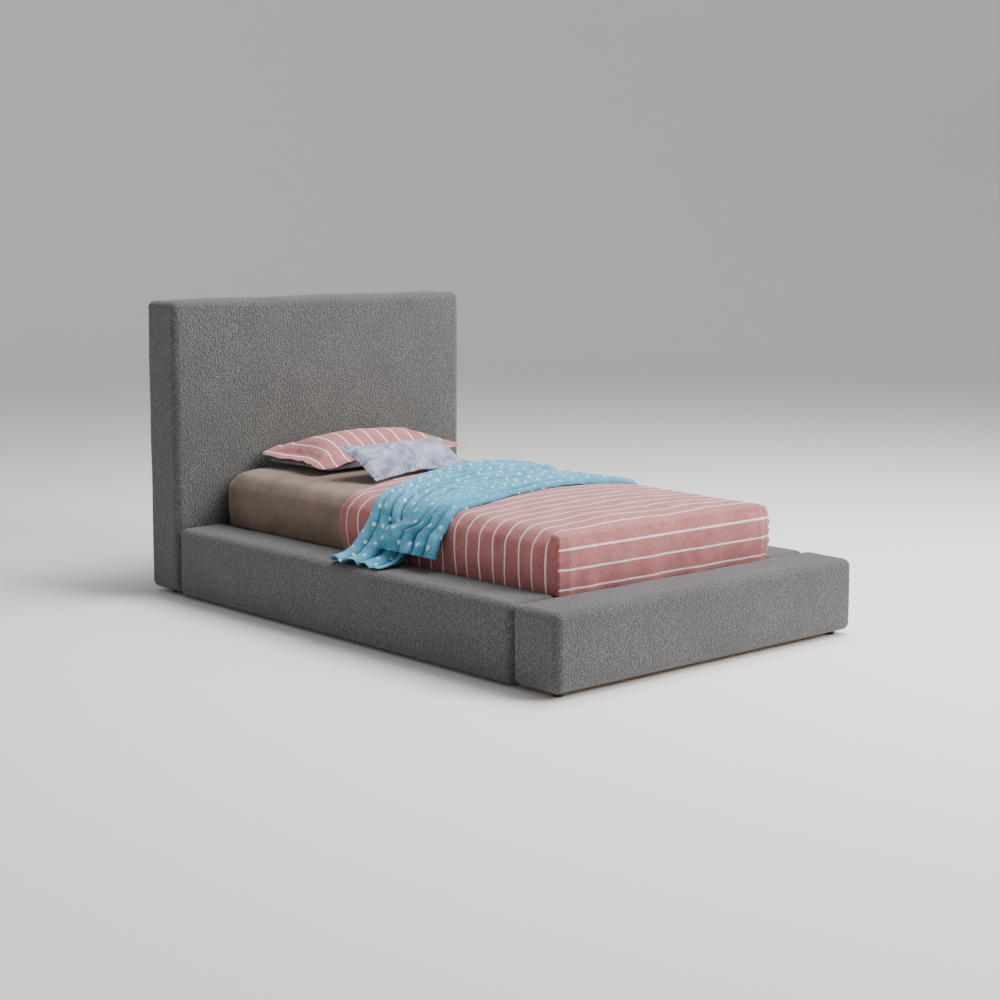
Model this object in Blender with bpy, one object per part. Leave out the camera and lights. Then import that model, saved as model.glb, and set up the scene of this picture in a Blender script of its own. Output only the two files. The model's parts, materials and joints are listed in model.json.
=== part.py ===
"""An upholstered twin bed with a roll-out trundle bed under it, in metres and +Z up.

The origin is on the floor under the middle of the bed. The headboard stands at +Y and the footboard at -Y.
The trundle rolls out towards -X on four fixed casters, and its padded front is the bed's near side.
"""

import math

import bmesh
import bpy
from mathutils import Matrix, Vector

# Overall size
BED_WIDTH = 1.4478
BED_LENGTH = 2.3622
BED_HEIGHT = 1.1557

# Upholstered boxes
HEADBOARD_DEPTH = 0.204
FOOTBOARD_DEPTH = 0.212
SIDE_DEPTH = 0.210
LEDGE_RISE = 0.014
EDGE_RADIUS = 0.024
PAD_WALL = 0.034
FRAME_BAR = 0.045
BACK_PANEL = 0.004
JOINT_GAP = 0.002
TOUCH = 0.0004

# Heights above the floor
GLIDE_HEIGHT = 0.015
TRUNDLE_FRONT_GAP = 0.007
GLIDE_RADIUS = 0.018

# Slatted platform
SLAT_COUNT = 10
SLAT_WIDTH = 0.070
SLAT_THICKNESS = 0.018
SLAT_TOP = 0.262
LEDGER = 0.020
BEAM_WIDTH = 0.025
BEAM_HEIGHT = 0.040
BEAM_WALL = 0.002
BRACKET_STEEL = 0.0025
BRACKET_LEG = 0.040
BRACKET_HEIGHT = 0.100

# Bedding
MATTRESS_SIDE_GAP = 0.012
MATTRESS_END_GAP = 0.020
MATTRESS_SIDE = 0.195
MATTRESS_RADIUS = 0.045
MATTRESS_CROWN = 0.028
SHEET = 0.002
QUILT = 0.008
QUILT_HEM_RISE = 0.019
QUILT_FROM_HEADBOARD = 0.652
QUILT_HEAD_SLANT = math.radians(16)
THROW = 0.014
THROW_EASE = 0.003
THROW_HEM_INSET = 0.035
# Where the throw rises off the near ledge: distance out from the mattress, and height
THROW_FOLD = ((0.055, 0.020), (0.022, 0.070))
THROW_SHOULDER_EASE = (0.004, 0.030)
THROW_FAR_HEM = 0.060
THROW_STRIPS = 8
THROW_NEAR = (0.335, 0.705)
THROW_FAR = (-0.035, 0.665)

# Pillows: each has its length, width, and fill above and below the seam
UNDER_PILLOW = (0.650, 0.390, 0.024, 0.020)
UNDER_PILLOW_GAP = 0.022
UNDER_PILLOW_SHIFT = 0.020
FLANGED_PILLOW = (0.750, 0.430, 0.060, 0.008)
FLANGED_PILLOW_GAP = 0.012
FLANGED_PILLOW_SHIFT = 0.045
FLANGE = 0.040
FLANGED_PILLOW_TILT = math.radians(4)
VELVET_CUSHION = (0.530, 0.260, 0.060, 0.010)
VELVET_LEAN = math.radians(28)
VELVET_HEADING = math.radians(8.8)
VELVET_FROM_HEADBOARD = 0.687
VELVET_SHIFT = -0.050
PILLOW_RIM = 0.004
PILLOW_EASE = 0.002
PILLOW_DRAW_IN = (0.05, 0.06)

# Trundle
TRAY_BOARD = 0.015
TRAY_BOTTOM = 0.012
TRAY_TOP = 0.100
TRAY_END_GAP = 0.017
TRAY_BACK_GAP = 0.0415
DECK_BOTTOM = 0.052
DECK = 0.012
BEARER_WIDTH = 0.040
TRUNDLE_MATTRESS_HEIGHT = 0.140
TRUNDLE_MATTRESS_GAP = 0.006
TRUNDLE_MATTRESS_RADIUS = 0.030

# Casters
WHEEL_RADIUS = 0.020
WHEEL_WIDTH = 0.016
WHEEL_SIDES = 32
AXLE_RADIUS = 0.003
RUNNING_GAP = 0.0004
FORK_STEEL = 0.002
FORK_LENGTH = 0.026
FORK_SIDE_GAP = 0.001
CASTER_INSET_X = 0.065
CASTER_INSET_Y = 0.170

# Places that several pieces share
HALF_WIDTH = BED_WIDTH / 2
HALF_LENGTH = BED_LENGTH / 2
WELL_X = HALF_WIDTH - SIDE_DEPTH
WELL_HEAD_Y = HALF_LENGTH - HEADBOARD_DEPTH
WELL_FOOT_Y = FOOTBOARD_DEPTH - HALF_LENGTH
WELL_MID_Y = (WELL_HEAD_Y + WELL_FOOT_Y) / 2
LEDGE_HEIGHT = SLAT_TOP + LEDGE_RISE
SLAT_BOTTOM = SLAT_TOP - SLAT_THICKNESS
MATTRESS_BOTTOM = SLAT_TOP + TOUCH
MATTRESS_TOP = MATTRESS_BOTTOM + MATTRESS_SIDE
MATTRESS_HALF_WIDTH = WELL_X - MATTRESS_SIDE_GAP
MATTRESS_LOW = Vector((-MATTRESS_HALF_WIDTH, WELL_FOOT_Y + MATTRESS_END_GAP, MATTRESS_BOTTOM))
MATTRESS_HIGH = Vector((MATTRESS_HALF_WIDTH, WELL_HEAD_Y - MATTRESS_END_GAP, MATTRESS_TOP))
QUILT_HEAD_Y = WELL_HEAD_Y - QUILT_FROM_HEADBOARD
QUILT_HEM = MATTRESS_BOTTOM + QUILT_HEM_RISE
QUILT_OUT = 2 * TOUCH + SHEET + QUILT
THROW_LIFT = QUILT_OUT + THROW_EASE

# Colours (linear red, green, blue), roughness and metallic
FINISHES = {
    "boucle": ((0.16, 0.16, 0.155), 0.95, 0.0),
    "dust_cloth": ((0.02, 0.02, 0.02), 0.9, 0.0),
    "pine": ((0.55, 0.37, 0.20), 0.6, 0.0),
    "plywood": ((0.60, 0.45, 0.27), 0.6, 0.0),
    "steel": ((0.08, 0.08, 0.085), 0.45, 1.0),
    "zinc": ((0.55, 0.56, 0.58), 0.35, 1.0),
    "black_plastic": ((0.02, 0.02, 0.02), 0.5, 0.0),
    "ticking": ((0.72, 0.71, 0.68), 0.9, 0.0),
    "tan_sheet": ((0.28, 0.20, 0.16), 0.8, 0.0),
    "rose_cotton": ((0.45, 0.19, 0.18), 0.85, 0.0),
    "blue_fleece": ((0.15, 0.42, 0.58), 0.95, 0.0),
    "grey_cotton": ((0.22, 0.22, 0.25), 0.85, 0.0),
    "velvet": ((0.34, 0.36, 0.46), 0.7, 0.0),
}


def clear_scene():
    for obj in list(bpy.data.objects):
        bpy.data.objects.remove(obj)


def material(name):
    """The Principled material of that finish, made once."""
    found = bpy.data.materials.get(name)
    if found:
        return found
    colour, roughness, metallic = FINISHES[name]
    made = bpy.data.materials.new(name)
    made.use_nodes = True
    shader = made.node_tree.nodes["Principled BSDF"]
    shader.inputs["Base Color"].default_value = (*colour, 1.0)
    shader.inputs["Roughness"].default_value = roughness
    shader.inputs["Metallic"].default_value = metallic
    return made


def add_object(name, data, finish, location=(0, 0, 0), turn=(0, 0, 0), parent=None):
    """One named object with its own material."""
    obj = bpy.data.objects.new(name, data)
    if not data.materials:
        data.materials.append(material(finish))
    bpy.context.scene.collection.objects.link(obj)
    obj.location = location
    obj.rotation_euler = turn
    obj.parent = parent
    return obj


def to_mesh(name, bm, smooth_above=math.radians(35)):
    mesh = bpy.data.meshes.new(name)
    bm.normal_update()
    bm.to_mesh(mesh)
    bm.free()
    mesh.shade_smooth()
    mesh.set_sharp_from_angle(angle=smooth_above)
    return mesh


def box(low, high):
    """A plain box between two corners."""
    bm = bmesh.new()
    bmesh.ops.create_cube(bm, size=1.0)
    low, high = Vector(low), Vector(high)
    size = high - low
    bmesh.ops.transform(bm, matrix=Matrix.Diagonal(size.to_4d()), verts=bm.verts)
    bmesh.ops.translate(bm, vec=(low + high) / 2, verts=bm.verts)
    return bm


def soft_box(low, high, radius, segments=3):
    """A box with every edge rounded."""
    bm = box(low, high)
    bmesh.ops.bevel(
        bm, geom=bm.edges[:], offset=radius, segments=segments, profile=0.5, affect="EDGES"
    )
    return bm


def board(name, low, high, finish, parent=None, ease=0.0015):
    """A sawn board or strip with slightly eased edges."""
    obj = add_object(name, to_mesh(name, box(low, high)), finish, parent=parent)
    bevel = obj.modifiers.new("ease", "BEVEL")
    bevel.width = ease
    bevel.segments = 1
    return obj


def hollow_out(bm, side, wall, radius, depth):
    """Sinks a pocket into the flat face on one side, leaving a wall all round it."""
    face = max((f for f in bm.faces if f.normal.dot(side) > 0.99), key=lambda f: f.calc_area())
    bmesh.ops.inset_region(bm, faces=[face], thickness=wall - radius, use_even_offset=True)
    sunk = bmesh.ops.extrude_discrete_faces(bm, faces=[face])["faces"][0]
    bmesh.ops.translate(bm, vec=-side * depth, verts=sunk.verts)


def upholstery(name, low, high, side, depth, parent=None):
    """A foam-and-fabric shell, open on one side for its timber frame."""
    bm = soft_box(low, high, EDGE_RADIUS)
    bm.normal_update()
    hollow_out(bm, Vector(side), PAD_WALL, EDGE_RADIUS, depth)
    return add_object(name, to_mesh(name, bm), "boucle", parent=parent)


def rectangle(x0, y0, x1, y1):
    return [(x0, y0), (x1, y0), (x1, y1), (x0, y1)]


def circle(x, y, radius, count):
    angles = [2 * math.pi * k / count for k in range(count)]
    return [(x + radius * math.cos(a), y + radius * math.sin(a)) for a in angles]


def extrusion(name, loops, length):
    """A flat shape in X and Y, extruded along Z about its middle. Loops after the first are holes."""
    curve = bpy.data.curves.new(name, "CURVE")
    curve.dimensions = "2D"
    curve.fill_mode = "BOTH"
    curve.extrude = length / 2
    for loop in loops:
        spline = curve.splines.new("POLY")
        spline.points.add(len(loop) - 1)
        spline.use_cyclic_u = True
        for point, (x, y) in zip(spline.points, loop):
            point.co = (x, y, 0, 1)
    return curve


def windows(length, width, columns, rows, bar):
    """The openings between the bars of a ladder frame, centred on the origin."""
    step_x = (length - bar) / columns
    step_y = (width - bar) / rows
    left, bottom = bar - length / 2, bar - width / 2
    corners = [(left + step_x * i, bottom + step_y * j) for i in range(columns) for j in range(rows)]
    return [rectangle(x, y, x + step_x - bar, y + step_y - bar) for x, y in corners]


def ladder_frame(name, length, width, height, columns, rows, location, turn=(0, 0, 0), parent=None):
    """A glued timber frame of bars with openings between them."""
    outline = rectangle(-length / 2, -width / 2, length / 2, width / 2)
    loops = [outline, *windows(length, width, columns, rows, FRAME_BAR)]
    return add_object(name, extrusion(name, loops, height), "pine", location, turn, parent)


def add_headboard():
    """The upholstered headboard: a shell open at the back, its frame, and the panel that closes it."""
    low = (-HALF_WIDTH, WELL_HEAD_Y, GLIDE_HEIGHT)
    high = (HALF_WIDTH, HALF_LENGTH, BED_HEIGHT)
    depth = HEADBOARD_DEPTH - PAD_WALL
    upholstery("headboard_upholstery", low, high, (0, 1, 0), depth)
    inner_width = BED_WIDTH - 2 * (PAD_WALL + TOUCH)
    inner_height = BED_HEIGHT - GLIDE_HEIGHT - 2 * (PAD_WALL + TOUCH)
    middle_z = (BED_HEIGHT + GLIDE_HEIGHT) / 2
    frame_depth = depth - BACK_PANEL - 2 * TOUCH
    frame_y = HALF_LENGTH - BACK_PANEL - TOUCH - frame_depth / 2
    middle = (0, frame_y, middle_z)
    ladder_frame("headboard_frame", inner_width, inner_height, frame_depth, 6, 5, middle, (math.pi / 2, 0, 0))
    board(
        "headboard_back_panel",
        (-inner_width / 2, HALF_LENGTH - BACK_PANEL, middle_z - inner_height / 2),
        (inner_width / 2, HALF_LENGTH, middle_z + inner_height / 2),
        "dust_cloth",
        ease=0.0005,
    )


def add_low_box(label, low, high, columns, parent=None):
    """A low upholstered box, open underneath, with its frame set flush in it."""
    depth = high[2] - low[2] - PAD_WALL
    upholstery(f"{label}_upholstery", low, high, (0, 0, -1), depth, parent)
    inner = [high[k] - low[k] - 2 * (PAD_WALL + TOUCH) for k in range(2)]
    middle = [(high[k] + low[k]) / 2 for k in range(2)]
    frame_height = depth - TOUCH
    counts = (columns, 1) if inner[0] > inner[1] else (1, columns)
    centre = (*middle, low[2] + frame_height / 2)
    ladder_frame(f"{label}_frame", inner[0], inner[1], frame_height, *counts, centre, parent=parent)


def glide_mesh():
    """A round plastic foot that narrows a little towards the floor."""
    bm = bmesh.new()
    height = GLIDE_HEIGHT - TOUCH
    bmesh.ops.create_cone(
        bm, cap_ends=True, segments=20, radius1=0.85 * GLIDE_RADIUS, radius2=GLIDE_RADIUS, depth=height
    )
    bmesh.ops.translate(bm, vec=(0, 0, height / 2), verts=bm.verts)
    return to_mesh("glide", bm)


def add_glides():
    """Feet under the headboard, the footboard and the far side."""
    inset = PAD_WALL + FRAME_BAR / 2
    corner_x = HALF_WIDTH - inset
    mesh = glide_mesh()
    places = {
        "glide_head_near": (-corner_x, (WELL_HEAD_Y + HALF_LENGTH) / 2),
        "glide_head_far": (corner_x, (WELL_HEAD_Y + HALF_LENGTH) / 2),
        "glide_foot_near": (-corner_x, inset - HALF_LENGTH),
        "glide_foot_far": (corner_x, inset - HALF_LENGTH),
        "glide_side_head": (corner_x, WELL_HEAD_Y - JOINT_GAP - inset),
        "glide_side_foot": (corner_x, WELL_FOOT_Y + JOINT_GAP + inset),
    }
    for name, (x, y) in places.items():
        add_object(name, mesh, "black_plastic", (x, y, 0))


def add_support():
    """What the slats lie on: a steel beam on the near side, and timber ledgers on both sides."""
    beam_x = -WELL_X + JOINT_GAP + BEAM_WIDTH / 2
    beam_low = SLAT_TOP - BEAM_HEIGHT
    beam_length = WELL_HEAD_Y - WELL_FOOT_Y - 2 * (BRACKET_STEEL + 2 * TOUCH)
    half_beam, half_height = BEAM_WIDTH / 2, BEAM_HEIGHT / 2
    hole = (half_beam - BEAM_WALL, half_height - BEAM_WALL)
    outline = rectangle(-half_beam, -half_height, half_beam, half_height)
    loops = [outline, rectangle(-hole[0], -hole[1], *hole)]
    add_object(
        "near_support_beam",
        extrusion("near_support_beam", loops, beam_length),
        "steel",
        (beam_x, WELL_MID_Y, beam_low + half_height),
        (math.pi / 2, 0, 0),
    )
    ledger_end = beam_length / 2 - BRACKET_LEG
    near_x = beam_x + half_beam + TOUCH
    ledger_top = SLAT_BOTTOM - TOUCH
    for name, x in (("near_ledger", near_x), ("far_ledger", WELL_X - TOUCH - LEDGER)):
        board(
            name,
            (x, WELL_MID_Y - ledger_end, ledger_top - LEDGER),
            (x + LEDGER, WELL_MID_Y + ledger_end, ledger_top),
            "pine",
        )
    return beam_x, beam_low, near_x


def add_brackets(beam_x, beam_low):
    """Steel angles: two carry the beam's ends, and two hold the far side to the boards at its ends."""
    seat_top = beam_low - TOUCH
    for end, wall_y, inward in (("head", WELL_HEAD_Y, -1), ("foot", WELL_FOOT_Y, 1)):
        plate = [wall_y + inward * TOUCH, wall_y + inward * (TOUCH + BRACKET_STEEL)]
        reach = wall_y + inward * (TOUCH + BRACKET_LEG)
        foot_z = seat_top - BRACKET_STEEL
        # An L in Y and Z: up the wall, and out under the beam.
        profile = [
            (plate[0], foot_z),
            (reach, foot_z),
            (reach, seat_top),
            (plate[1], seat_top),
            (plate[1], SLAT_TOP),
            (plate[0], SLAT_TOP),
        ]
        add_object(
            f"beam_bracket_{end}",
            extrusion(f"beam_bracket_{end}", [profile], BEAM_WIDTH),
            "zinc",
            (beam_x, 0, 0),
            (math.pi / 2, 0, math.pi / 2),
        )
        side = WELL_X - TOUCH
        corner = [
            (side, plate[0]),
            (side - BRACKET_LEG, plate[0]),
            (side - BRACKET_LEG, plate[1]),
            (side - BRACKET_STEEL, plate[1]),
            (side - BRACKET_STEEL, reach),
            (side, reach),
        ]
        add_object(
            f"corner_bracket_{end}",
            extrusion(f"corner_bracket_{end}", [corner], BRACKET_HEIGHT),
            "zinc",
            (0, 0, TRAY_TOP + BRACKET_HEIGHT / 2),
        )


def add_slats(near_x):
    """Loose boards across the bed, evenly spaced."""
    first = WELL_FOOT_Y + BRACKET_LEG + SLAT_WIDTH
    last = WELL_HEAD_Y - BRACKET_LEG - SLAT_WIDTH
    for k in range(SLAT_COUNT):
        y = first + (last - first) * k / (SLAT_COUNT - 1)
        board(
            f"slat_{k + 1:02d}",
            (near_x, y - SLAT_WIDTH / 2, SLAT_BOTTOM),
            (WELL_X - TOUCH, y + SLAT_WIDTH / 2, SLAT_TOP),
            "pine",
        )


def swell(point):
    """How far the mattress's padding lifts a point: most in the middle of its top, nothing at its bottom."""
    middle = (MATTRESS_LOW + MATTRESS_HIGH) / 2
    half = (MATTRESS_HIGH - MATTRESS_LOW) / 2
    u, v = (point.x - middle.x) / half.x, (point.y - middle.y) / half.y
    height = (point.z - MATTRESS_BOTTOM) / MATTRESS_SIDE
    return MATTRESS_CROWN * max(0.0, 1 - u * u) * max(0.0, 1 - v**4) * min(1.0, max(0.0, height))


def cut_grid(bm, axis, low, high, count):
    """Cuts the mesh by evenly spaced planes, so that its flat faces can be curved."""
    normal = Vector([1.0 if k == axis else 0.0 for k in range(3)])
    for k in range(1, count):
        point = normal * (low + (high - low) * k / count)
        everything = bm.verts[:] + bm.edges[:] + bm.faces[:]
        bmesh.ops.bisect_plane(bm, geom=everything, plane_co=point, plane_no=normal, dist=1e-6)


def mattress_skin(grow):
    """The mattress's outside, grown outwards evenly and swelled on top."""
    spread = Vector((grow, grow, grow))
    low, high = MATTRESS_LOW - spread, MATTRESS_HIGH + spread
    bm = soft_box(low, high, MATTRESS_RADIUS + grow, segments=4)
    flat = MATTRESS_RADIUS
    cut_grid(bm, 0, MATTRESS_LOW.x + flat, MATTRESS_HIGH.x - flat, 6)
    cut_grid(bm, 1, MATTRESS_LOW.y + flat, MATTRESS_HIGH.y - flat, 10)
    return bm


def swell_all(bm):
    for vert in bm.verts:
        vert.co.z += swell(vert.co)


def add_mattress():
    bm = mattress_skin(0.0)
    swell_all(bm)
    add_object("mattress", to_mesh("mattress", bm), "ticking")


def cut_away(bm, point, normal):
    """Removes what lies beyond a plane, on the side its normal points to, and leaves the edge open."""
    everything = bm.verts[:] + bm.edges[:] + bm.faces[:]
    bmesh.ops.bisect_plane(bm, geom=everything, plane_co=point, plane_no=normal, dist=1e-6, clear_outer=True)


def add_cover(name, bm, thickness, finish):
    """A cloth over the mattress: an open surface with its thickness put on outside."""
    swell_all(bm)
    obj = add_object(name, to_mesh(name, bm), finish)
    solidify = obj.modifiers.new("thickness", "SOLIDIFY")
    solidify.thickness = thickness
    solidify.offset = 1.0
    return obj


def add_sheet_and_quilt():
    """The fitted sheet covers the top and all four sides. The quilt stops at a slanting turned edge."""
    sheet = mattress_skin(TOUCH)
    hem = MATTRESS_BOTTOM + MATTRESS_RADIUS / 2
    cut_away(sheet, Vector((0, 0, hem)), Vector((0, 0, -1)))
    add_cover("fitted_sheet", sheet, SHEET, "tan_sheet")
    quilt = mattress_skin(2 * TOUCH + SHEET)
    cut_away(quilt, Vector((0, 0, QUILT_HEM)), Vector((0, 0, -1)))
    away = Vector((-math.sin(QUILT_HEAD_SLANT), math.cos(QUILT_HEAD_SLANT), 0))
    cut_away(quilt, Vector((0, QUILT_HEAD_Y, 0)), away)
    add_cover("quilt", quilt, QUILT, "rose_cotton")


def smooth(t):
    return t * t * (3 - 2 * t)


def throw_line():
    """The throw's middle line in X and Z, from its hem on the near ledge to the one on the far side."""
    rest = LEDGE_HEIGHT + 2 * TOUCH
    shoulder = MATTRESS_HALF_WIDTH + THROW_LIFT
    turn = MATTRESS_RADIUS + THROW_LIFT
    centre_x, centre_z = shoulder - turn, MATTRESS_TOP + THROW_LIFT - turn
    hem = -HALF_WIDTH + THROW_HEM_INSET
    near = [(hem, rest), ((2 * hem - shoulder) / 3, rest)]
    near += [(-shoulder - out, rest + up) for out, up in THROW_FOLD]
    near.append((-shoulder - THROW_SHOULDER_EASE[0], centre_z - THROW_SHOULDER_EASE[1]))
    arc = [math.radians(22.5 * k) for k in range(5)]
    left = [(-centre_x - turn * math.cos(a), centre_z + turn * math.sin(a)) for a in arc]
    top = [(centre_x * (k / 4 - 1), MATTRESS_TOP + THROW_LIFT) for k in range(1, 8)]
    right = [(centre_x + turn * math.sin(a), centre_z + turn * math.cos(a)) for a in arc]
    return near + left + top + right + [(shoulder, rest + THROW_FAR_HEM)]


def add_throw():
    """A fleece throw across the bed: gathered where it falls over the near side, wider on the far side."""
    line = throw_line()
    bm = bmesh.new()
    rows = []
    for k, (x, z) in enumerate(line):
        share = smooth(k / (len(line) - 1))
        reach = [n + (f - n) * share for n, f in zip(THROW_NEAR, THROW_FAR)]
        head_y, foot_y = (QUILT_HEAD_Y - back for back in reach)
        row = []
        for j in range(THROW_STRIPS + 1):
            point = Vector((x, foot_y + (head_y - foot_y) * j / THROW_STRIPS, z))
            point.z += swell(point)
            row.append(bm.verts.new(point))
        rows.append(row)
    for first, second in zip(rows, rows[1:]):
        for j in range(THROW_STRIPS):
            bm.faces.new((first[j], second[j], second[j + 1], first[j + 1]))
    obj = add_object("throw", to_mesh("throw", bm), "blue_fleece")
    solidify = obj.modifiers.new("thickness", "SOLIDIFY")
    solidify.thickness = THROW
    solidify.offset = 1.0


def pillow_mesh(name, length, width, top, bottom, flange=0.0, steps=(20, 14)):
    """A stuffed pillow with crowned faces, a thin sewn rim, and a flat flange round it if it has one."""
    bm = bmesh.new()
    columns, rows = steps

    def full(u, v):
        """How full the pillow is at a point of its face, from 0 at the seam to 1 in the middle."""
        u, v = abs(u) * length / (length - 2 * flange), abs(v) * width / (width - 2 * flange)
        return math.sqrt(max(0.0, 1 - u**3) * max(0.0, 1 - v**3))

    def grid(sign, depth):
        made = []
        for i in range(columns + 1):
            u = 2 * i / columns - 1
            line = []
            for j in range(rows + 1):
                v = 2 * j / rows - 1
                # The sides draw in between the corners.
                x = u * length / 2 * (1 - PILLOW_DRAW_IN[0] * (1 - v * v))
                y = v * width / 2 * (1 - PILLOW_DRAW_IN[1] * (1 - u * u))
                line.append(bm.verts.new((x, y, sign * (PILLOW_RIM / 2 + depth * full(u, v)))))
            made.append(line)
        return made

    upper, lower = grid(1, top), grid(-1, bottom)
    for i in range(columns):
        for j in range(rows):
            bm.faces.new((upper[i][j], upper[i + 1][j], upper[i + 1][j + 1], upper[i][j + 1]))
            bm.faces.new((lower[i][j], lower[i][j + 1], lower[i + 1][j + 1], lower[i + 1][j]))
    ring = [(i, 0) for i in range(columns)] + [(columns, j) for j in range(rows)]
    ring += [(i, rows) for i in range(columns, 0, -1)] + [(0, j) for j in range(rows, 0, -1)]
    for (i, j), (m, n) in zip(ring, ring[1:] + ring[:1]):
        bm.faces.new((lower[i][j], lower[m][n], upper[m][n], upper[i][j]))
    return to_mesh(name, bm, math.radians(60))


def add_pillows():
    """A plain pillow, a flanged striped one on top of it, and a small velvet cushion leaning in front."""
    seam = MATTRESS_TOP + MATTRESS_CROWN + SHEET + PILLOW_EASE
    length, width, top, bottom = UNDER_PILLOW
    seam += bottom + PILLOW_RIM / 2
    add_object(
        "under_pillow",
        pillow_mesh("under_pillow", *UNDER_PILLOW),
        "grey_cotton",
        (UNDER_PILLOW_SHIFT, WELL_HEAD_Y - UNDER_PILLOW_GAP - width / 2, seam),
    )
    tipped = FLANGED_PILLOW[1] / 2 * math.sin(FLANGED_PILLOW_TILT)
    seam += top + PILLOW_RIM + PILLOW_EASE + FLANGED_PILLOW[3] + tipped
    add_object(
        "flanged_pillow",
        pillow_mesh("flanged_pillow", *FLANGED_PILLOW, flange=FLANGE),
        "rose_cotton",
        (FLANGED_PILLOW_SHIFT, WELL_HEAD_Y - FLANGED_PILLOW_GAP - FLANGED_PILLOW[1] / 2, seam),
        (FLANGED_PILLOW_TILT, 0, 0),
    )
    rest = MATTRESS_TOP + MATTRESS_CROWN + QUILT_OUT + PILLOW_RIM + PILLOW_EASE
    front = Vector((VELVET_SHIFT, WELL_HEAD_Y - VELVET_FROM_HEADBOARD, rest))
    turn = Matrix.Rotation(VELVET_HEADING, 3, "Z") @ Matrix.Rotation(VELVET_LEAN, 3, "X")
    middle = front + turn @ Vector((0, VELVET_CUSHION[1] / 2, 0))
    add_object(
        "velvet_cushion",
        pillow_mesh("velvet_cushion", *VELVET_CUSHION),
        "velvet",
        (middle.x, middle.y, middle.z),
        turn.to_euler(),
    )


def tray_box():
    """The trundle tray's inner corner points in X and Y, inside its boards."""
    front = -WELL_X + TOUCH
    back = WELL_X - TRAY_BACK_GAP - TRAY_BOARD
    return front, back, WELL_FOOT_Y + TRAY_END_GAP + TRAY_BOARD, WELL_HEAD_Y - TRAY_END_GAP - TRAY_BOARD


def add_tray(parent):
    """The trundle's boards, two-piece plywood deck, middle bearer and mattress."""
    front, back, foot_y, head_y = tray_box()
    board(
        "trundle_head_board",
        (front, head_y, TRAY_BOTTOM),
        (back, head_y + TRAY_BOARD, TRAY_TOP),
        "pine",
        parent,
    )
    board(
        "trundle_foot_board",
        (front, foot_y - TRAY_BOARD, TRAY_BOTTOM),
        (back, foot_y, TRAY_TOP),
        "pine",
        parent,
    )
    board(
        "trundle_back_board",
        (back + TOUCH, foot_y - TRAY_BOARD, TRAY_BOTTOM),
        (back + TOUCH + TRAY_BOARD, head_y + TRAY_BOARD, TRAY_TOP),
        "pine",
        parent,
    )
    middle = (foot_y + head_y) / 2
    for name, y0, y1 in (("foot", foot_y, middle), ("head", middle, head_y)):
        board(
            f"trundle_deck_{name}",
            (front, y0 + TOUCH, DECK_BOTTOM),
            (back - TOUCH, y1 - TOUCH, DECK_BOTTOM + DECK),
            "plywood",
            parent,
            ease=0.0008,
        )
    board(
        "trundle_middle_bearer",
        (front, middle - BEARER_WIDTH / 2, TRAY_BOTTOM),
        (back - TOUCH, middle + BEARER_WIDTH / 2, DECK_BOTTOM - TOUCH),
        "pine",
        parent,
    )
    gap = TRUNDLE_MATTRESS_GAP
    bottom = DECK_BOTTOM + DECK + TOUCH
    bm = soft_box(
        (front + gap, foot_y + gap, bottom),
        (back - gap, head_y - gap, bottom + TRUNDLE_MATTRESS_HEIGHT),
        TRUNDLE_MATTRESS_RADIUS,
    )
    add_object("trundle_mattress", to_mesh("trundle_mattress", bm), "ticking", parent=parent)


def fork_profile():
    """The caster fork's section in Y and Z: a plate under the deck, and a cheek on each side of the wheel."""
    inner = WHEEL_WIDTH / 2 + FORK_SIDE_GAP
    outer = inner + FORK_STEEL
    top = DECK_BOTTOM - TOUCH - WHEEL_RADIUS
    low = -2.5 * AXLE_RADIUS
    under = top - FORK_STEEL
    return [
        (-outer, low),
        (-inner, low),
        (-inner, under),
        (inner, under),
        (inner, low),
        (outer, low),
        (outer, top),
        (-outer, top),
    ]


def rod(radius, length, sides=24):
    """A round bar along Y, centred on the origin."""
    bm = bmesh.new()
    bmesh.ops.create_cone(bm, cap_ends=True, segments=sides, radius1=radius, radius2=radius, depth=length)
    bmesh.ops.rotate(bm, cent=(0, 0, 0), matrix=Matrix.Rotation(math.pi / 2, 3, "X"), verts=bm.verts)
    return bm


def bored(name, obj, cutter_mesh, keep_as):
    """The evaluated mesh of an object with a hole cut through it. Both helpers are then removed."""
    cutter = bpy.data.objects.new(f"{name}_cutter", cutter_mesh)
    bpy.context.scene.collection.objects.link(cutter)
    cut = obj.modifiers.new("bore", "BOOLEAN")
    cut.operation = "DIFFERENCE"
    cut.object = cutter
    bpy.context.view_layer.update()
    graph = bpy.context.evaluated_depsgraph_get()
    mesh = bpy.data.meshes.new_from_object(obj.evaluated_get(graph))
    mesh.name = keep_as
    bpy.data.objects.remove(obj)
    bpy.data.objects.remove(cutter)
    return mesh


def fork_mesh():
    """The fork with its axle hole. The section is turned so that it runs along X."""
    curve = extrusion("fork_section", [fork_profile()], FORK_LENGTH)
    section = add_object("fork_section", curve, "zinc", turn=(math.pi / 2, 0, math.pi / 2))
    bpy.context.view_layer.update()
    graph = bpy.context.evaluated_depsgraph_get()
    mesh = bpy.data.meshes.new_from_object(section.evaluated_get(graph))
    mesh.transform(section.matrix_world)
    bpy.data.objects.remove(section)
    bm = bmesh.new()
    bm.from_mesh(mesh)
    bmesh.ops.remove_doubles(bm, verts=bm.verts, dist=1e-6)
    bmesh.ops.recalc_face_normals(bm, faces=bm.faces)
    blank = add_object("fork_blank", to_mesh("fork_blank", bm), "zinc")
    reach = 4 * WHEEL_WIDTH
    return bored("fork", blank, to_mesh("fork_drill", rod(AXLE_RADIUS + RUNNING_GAP, reach)), "fork")


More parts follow.
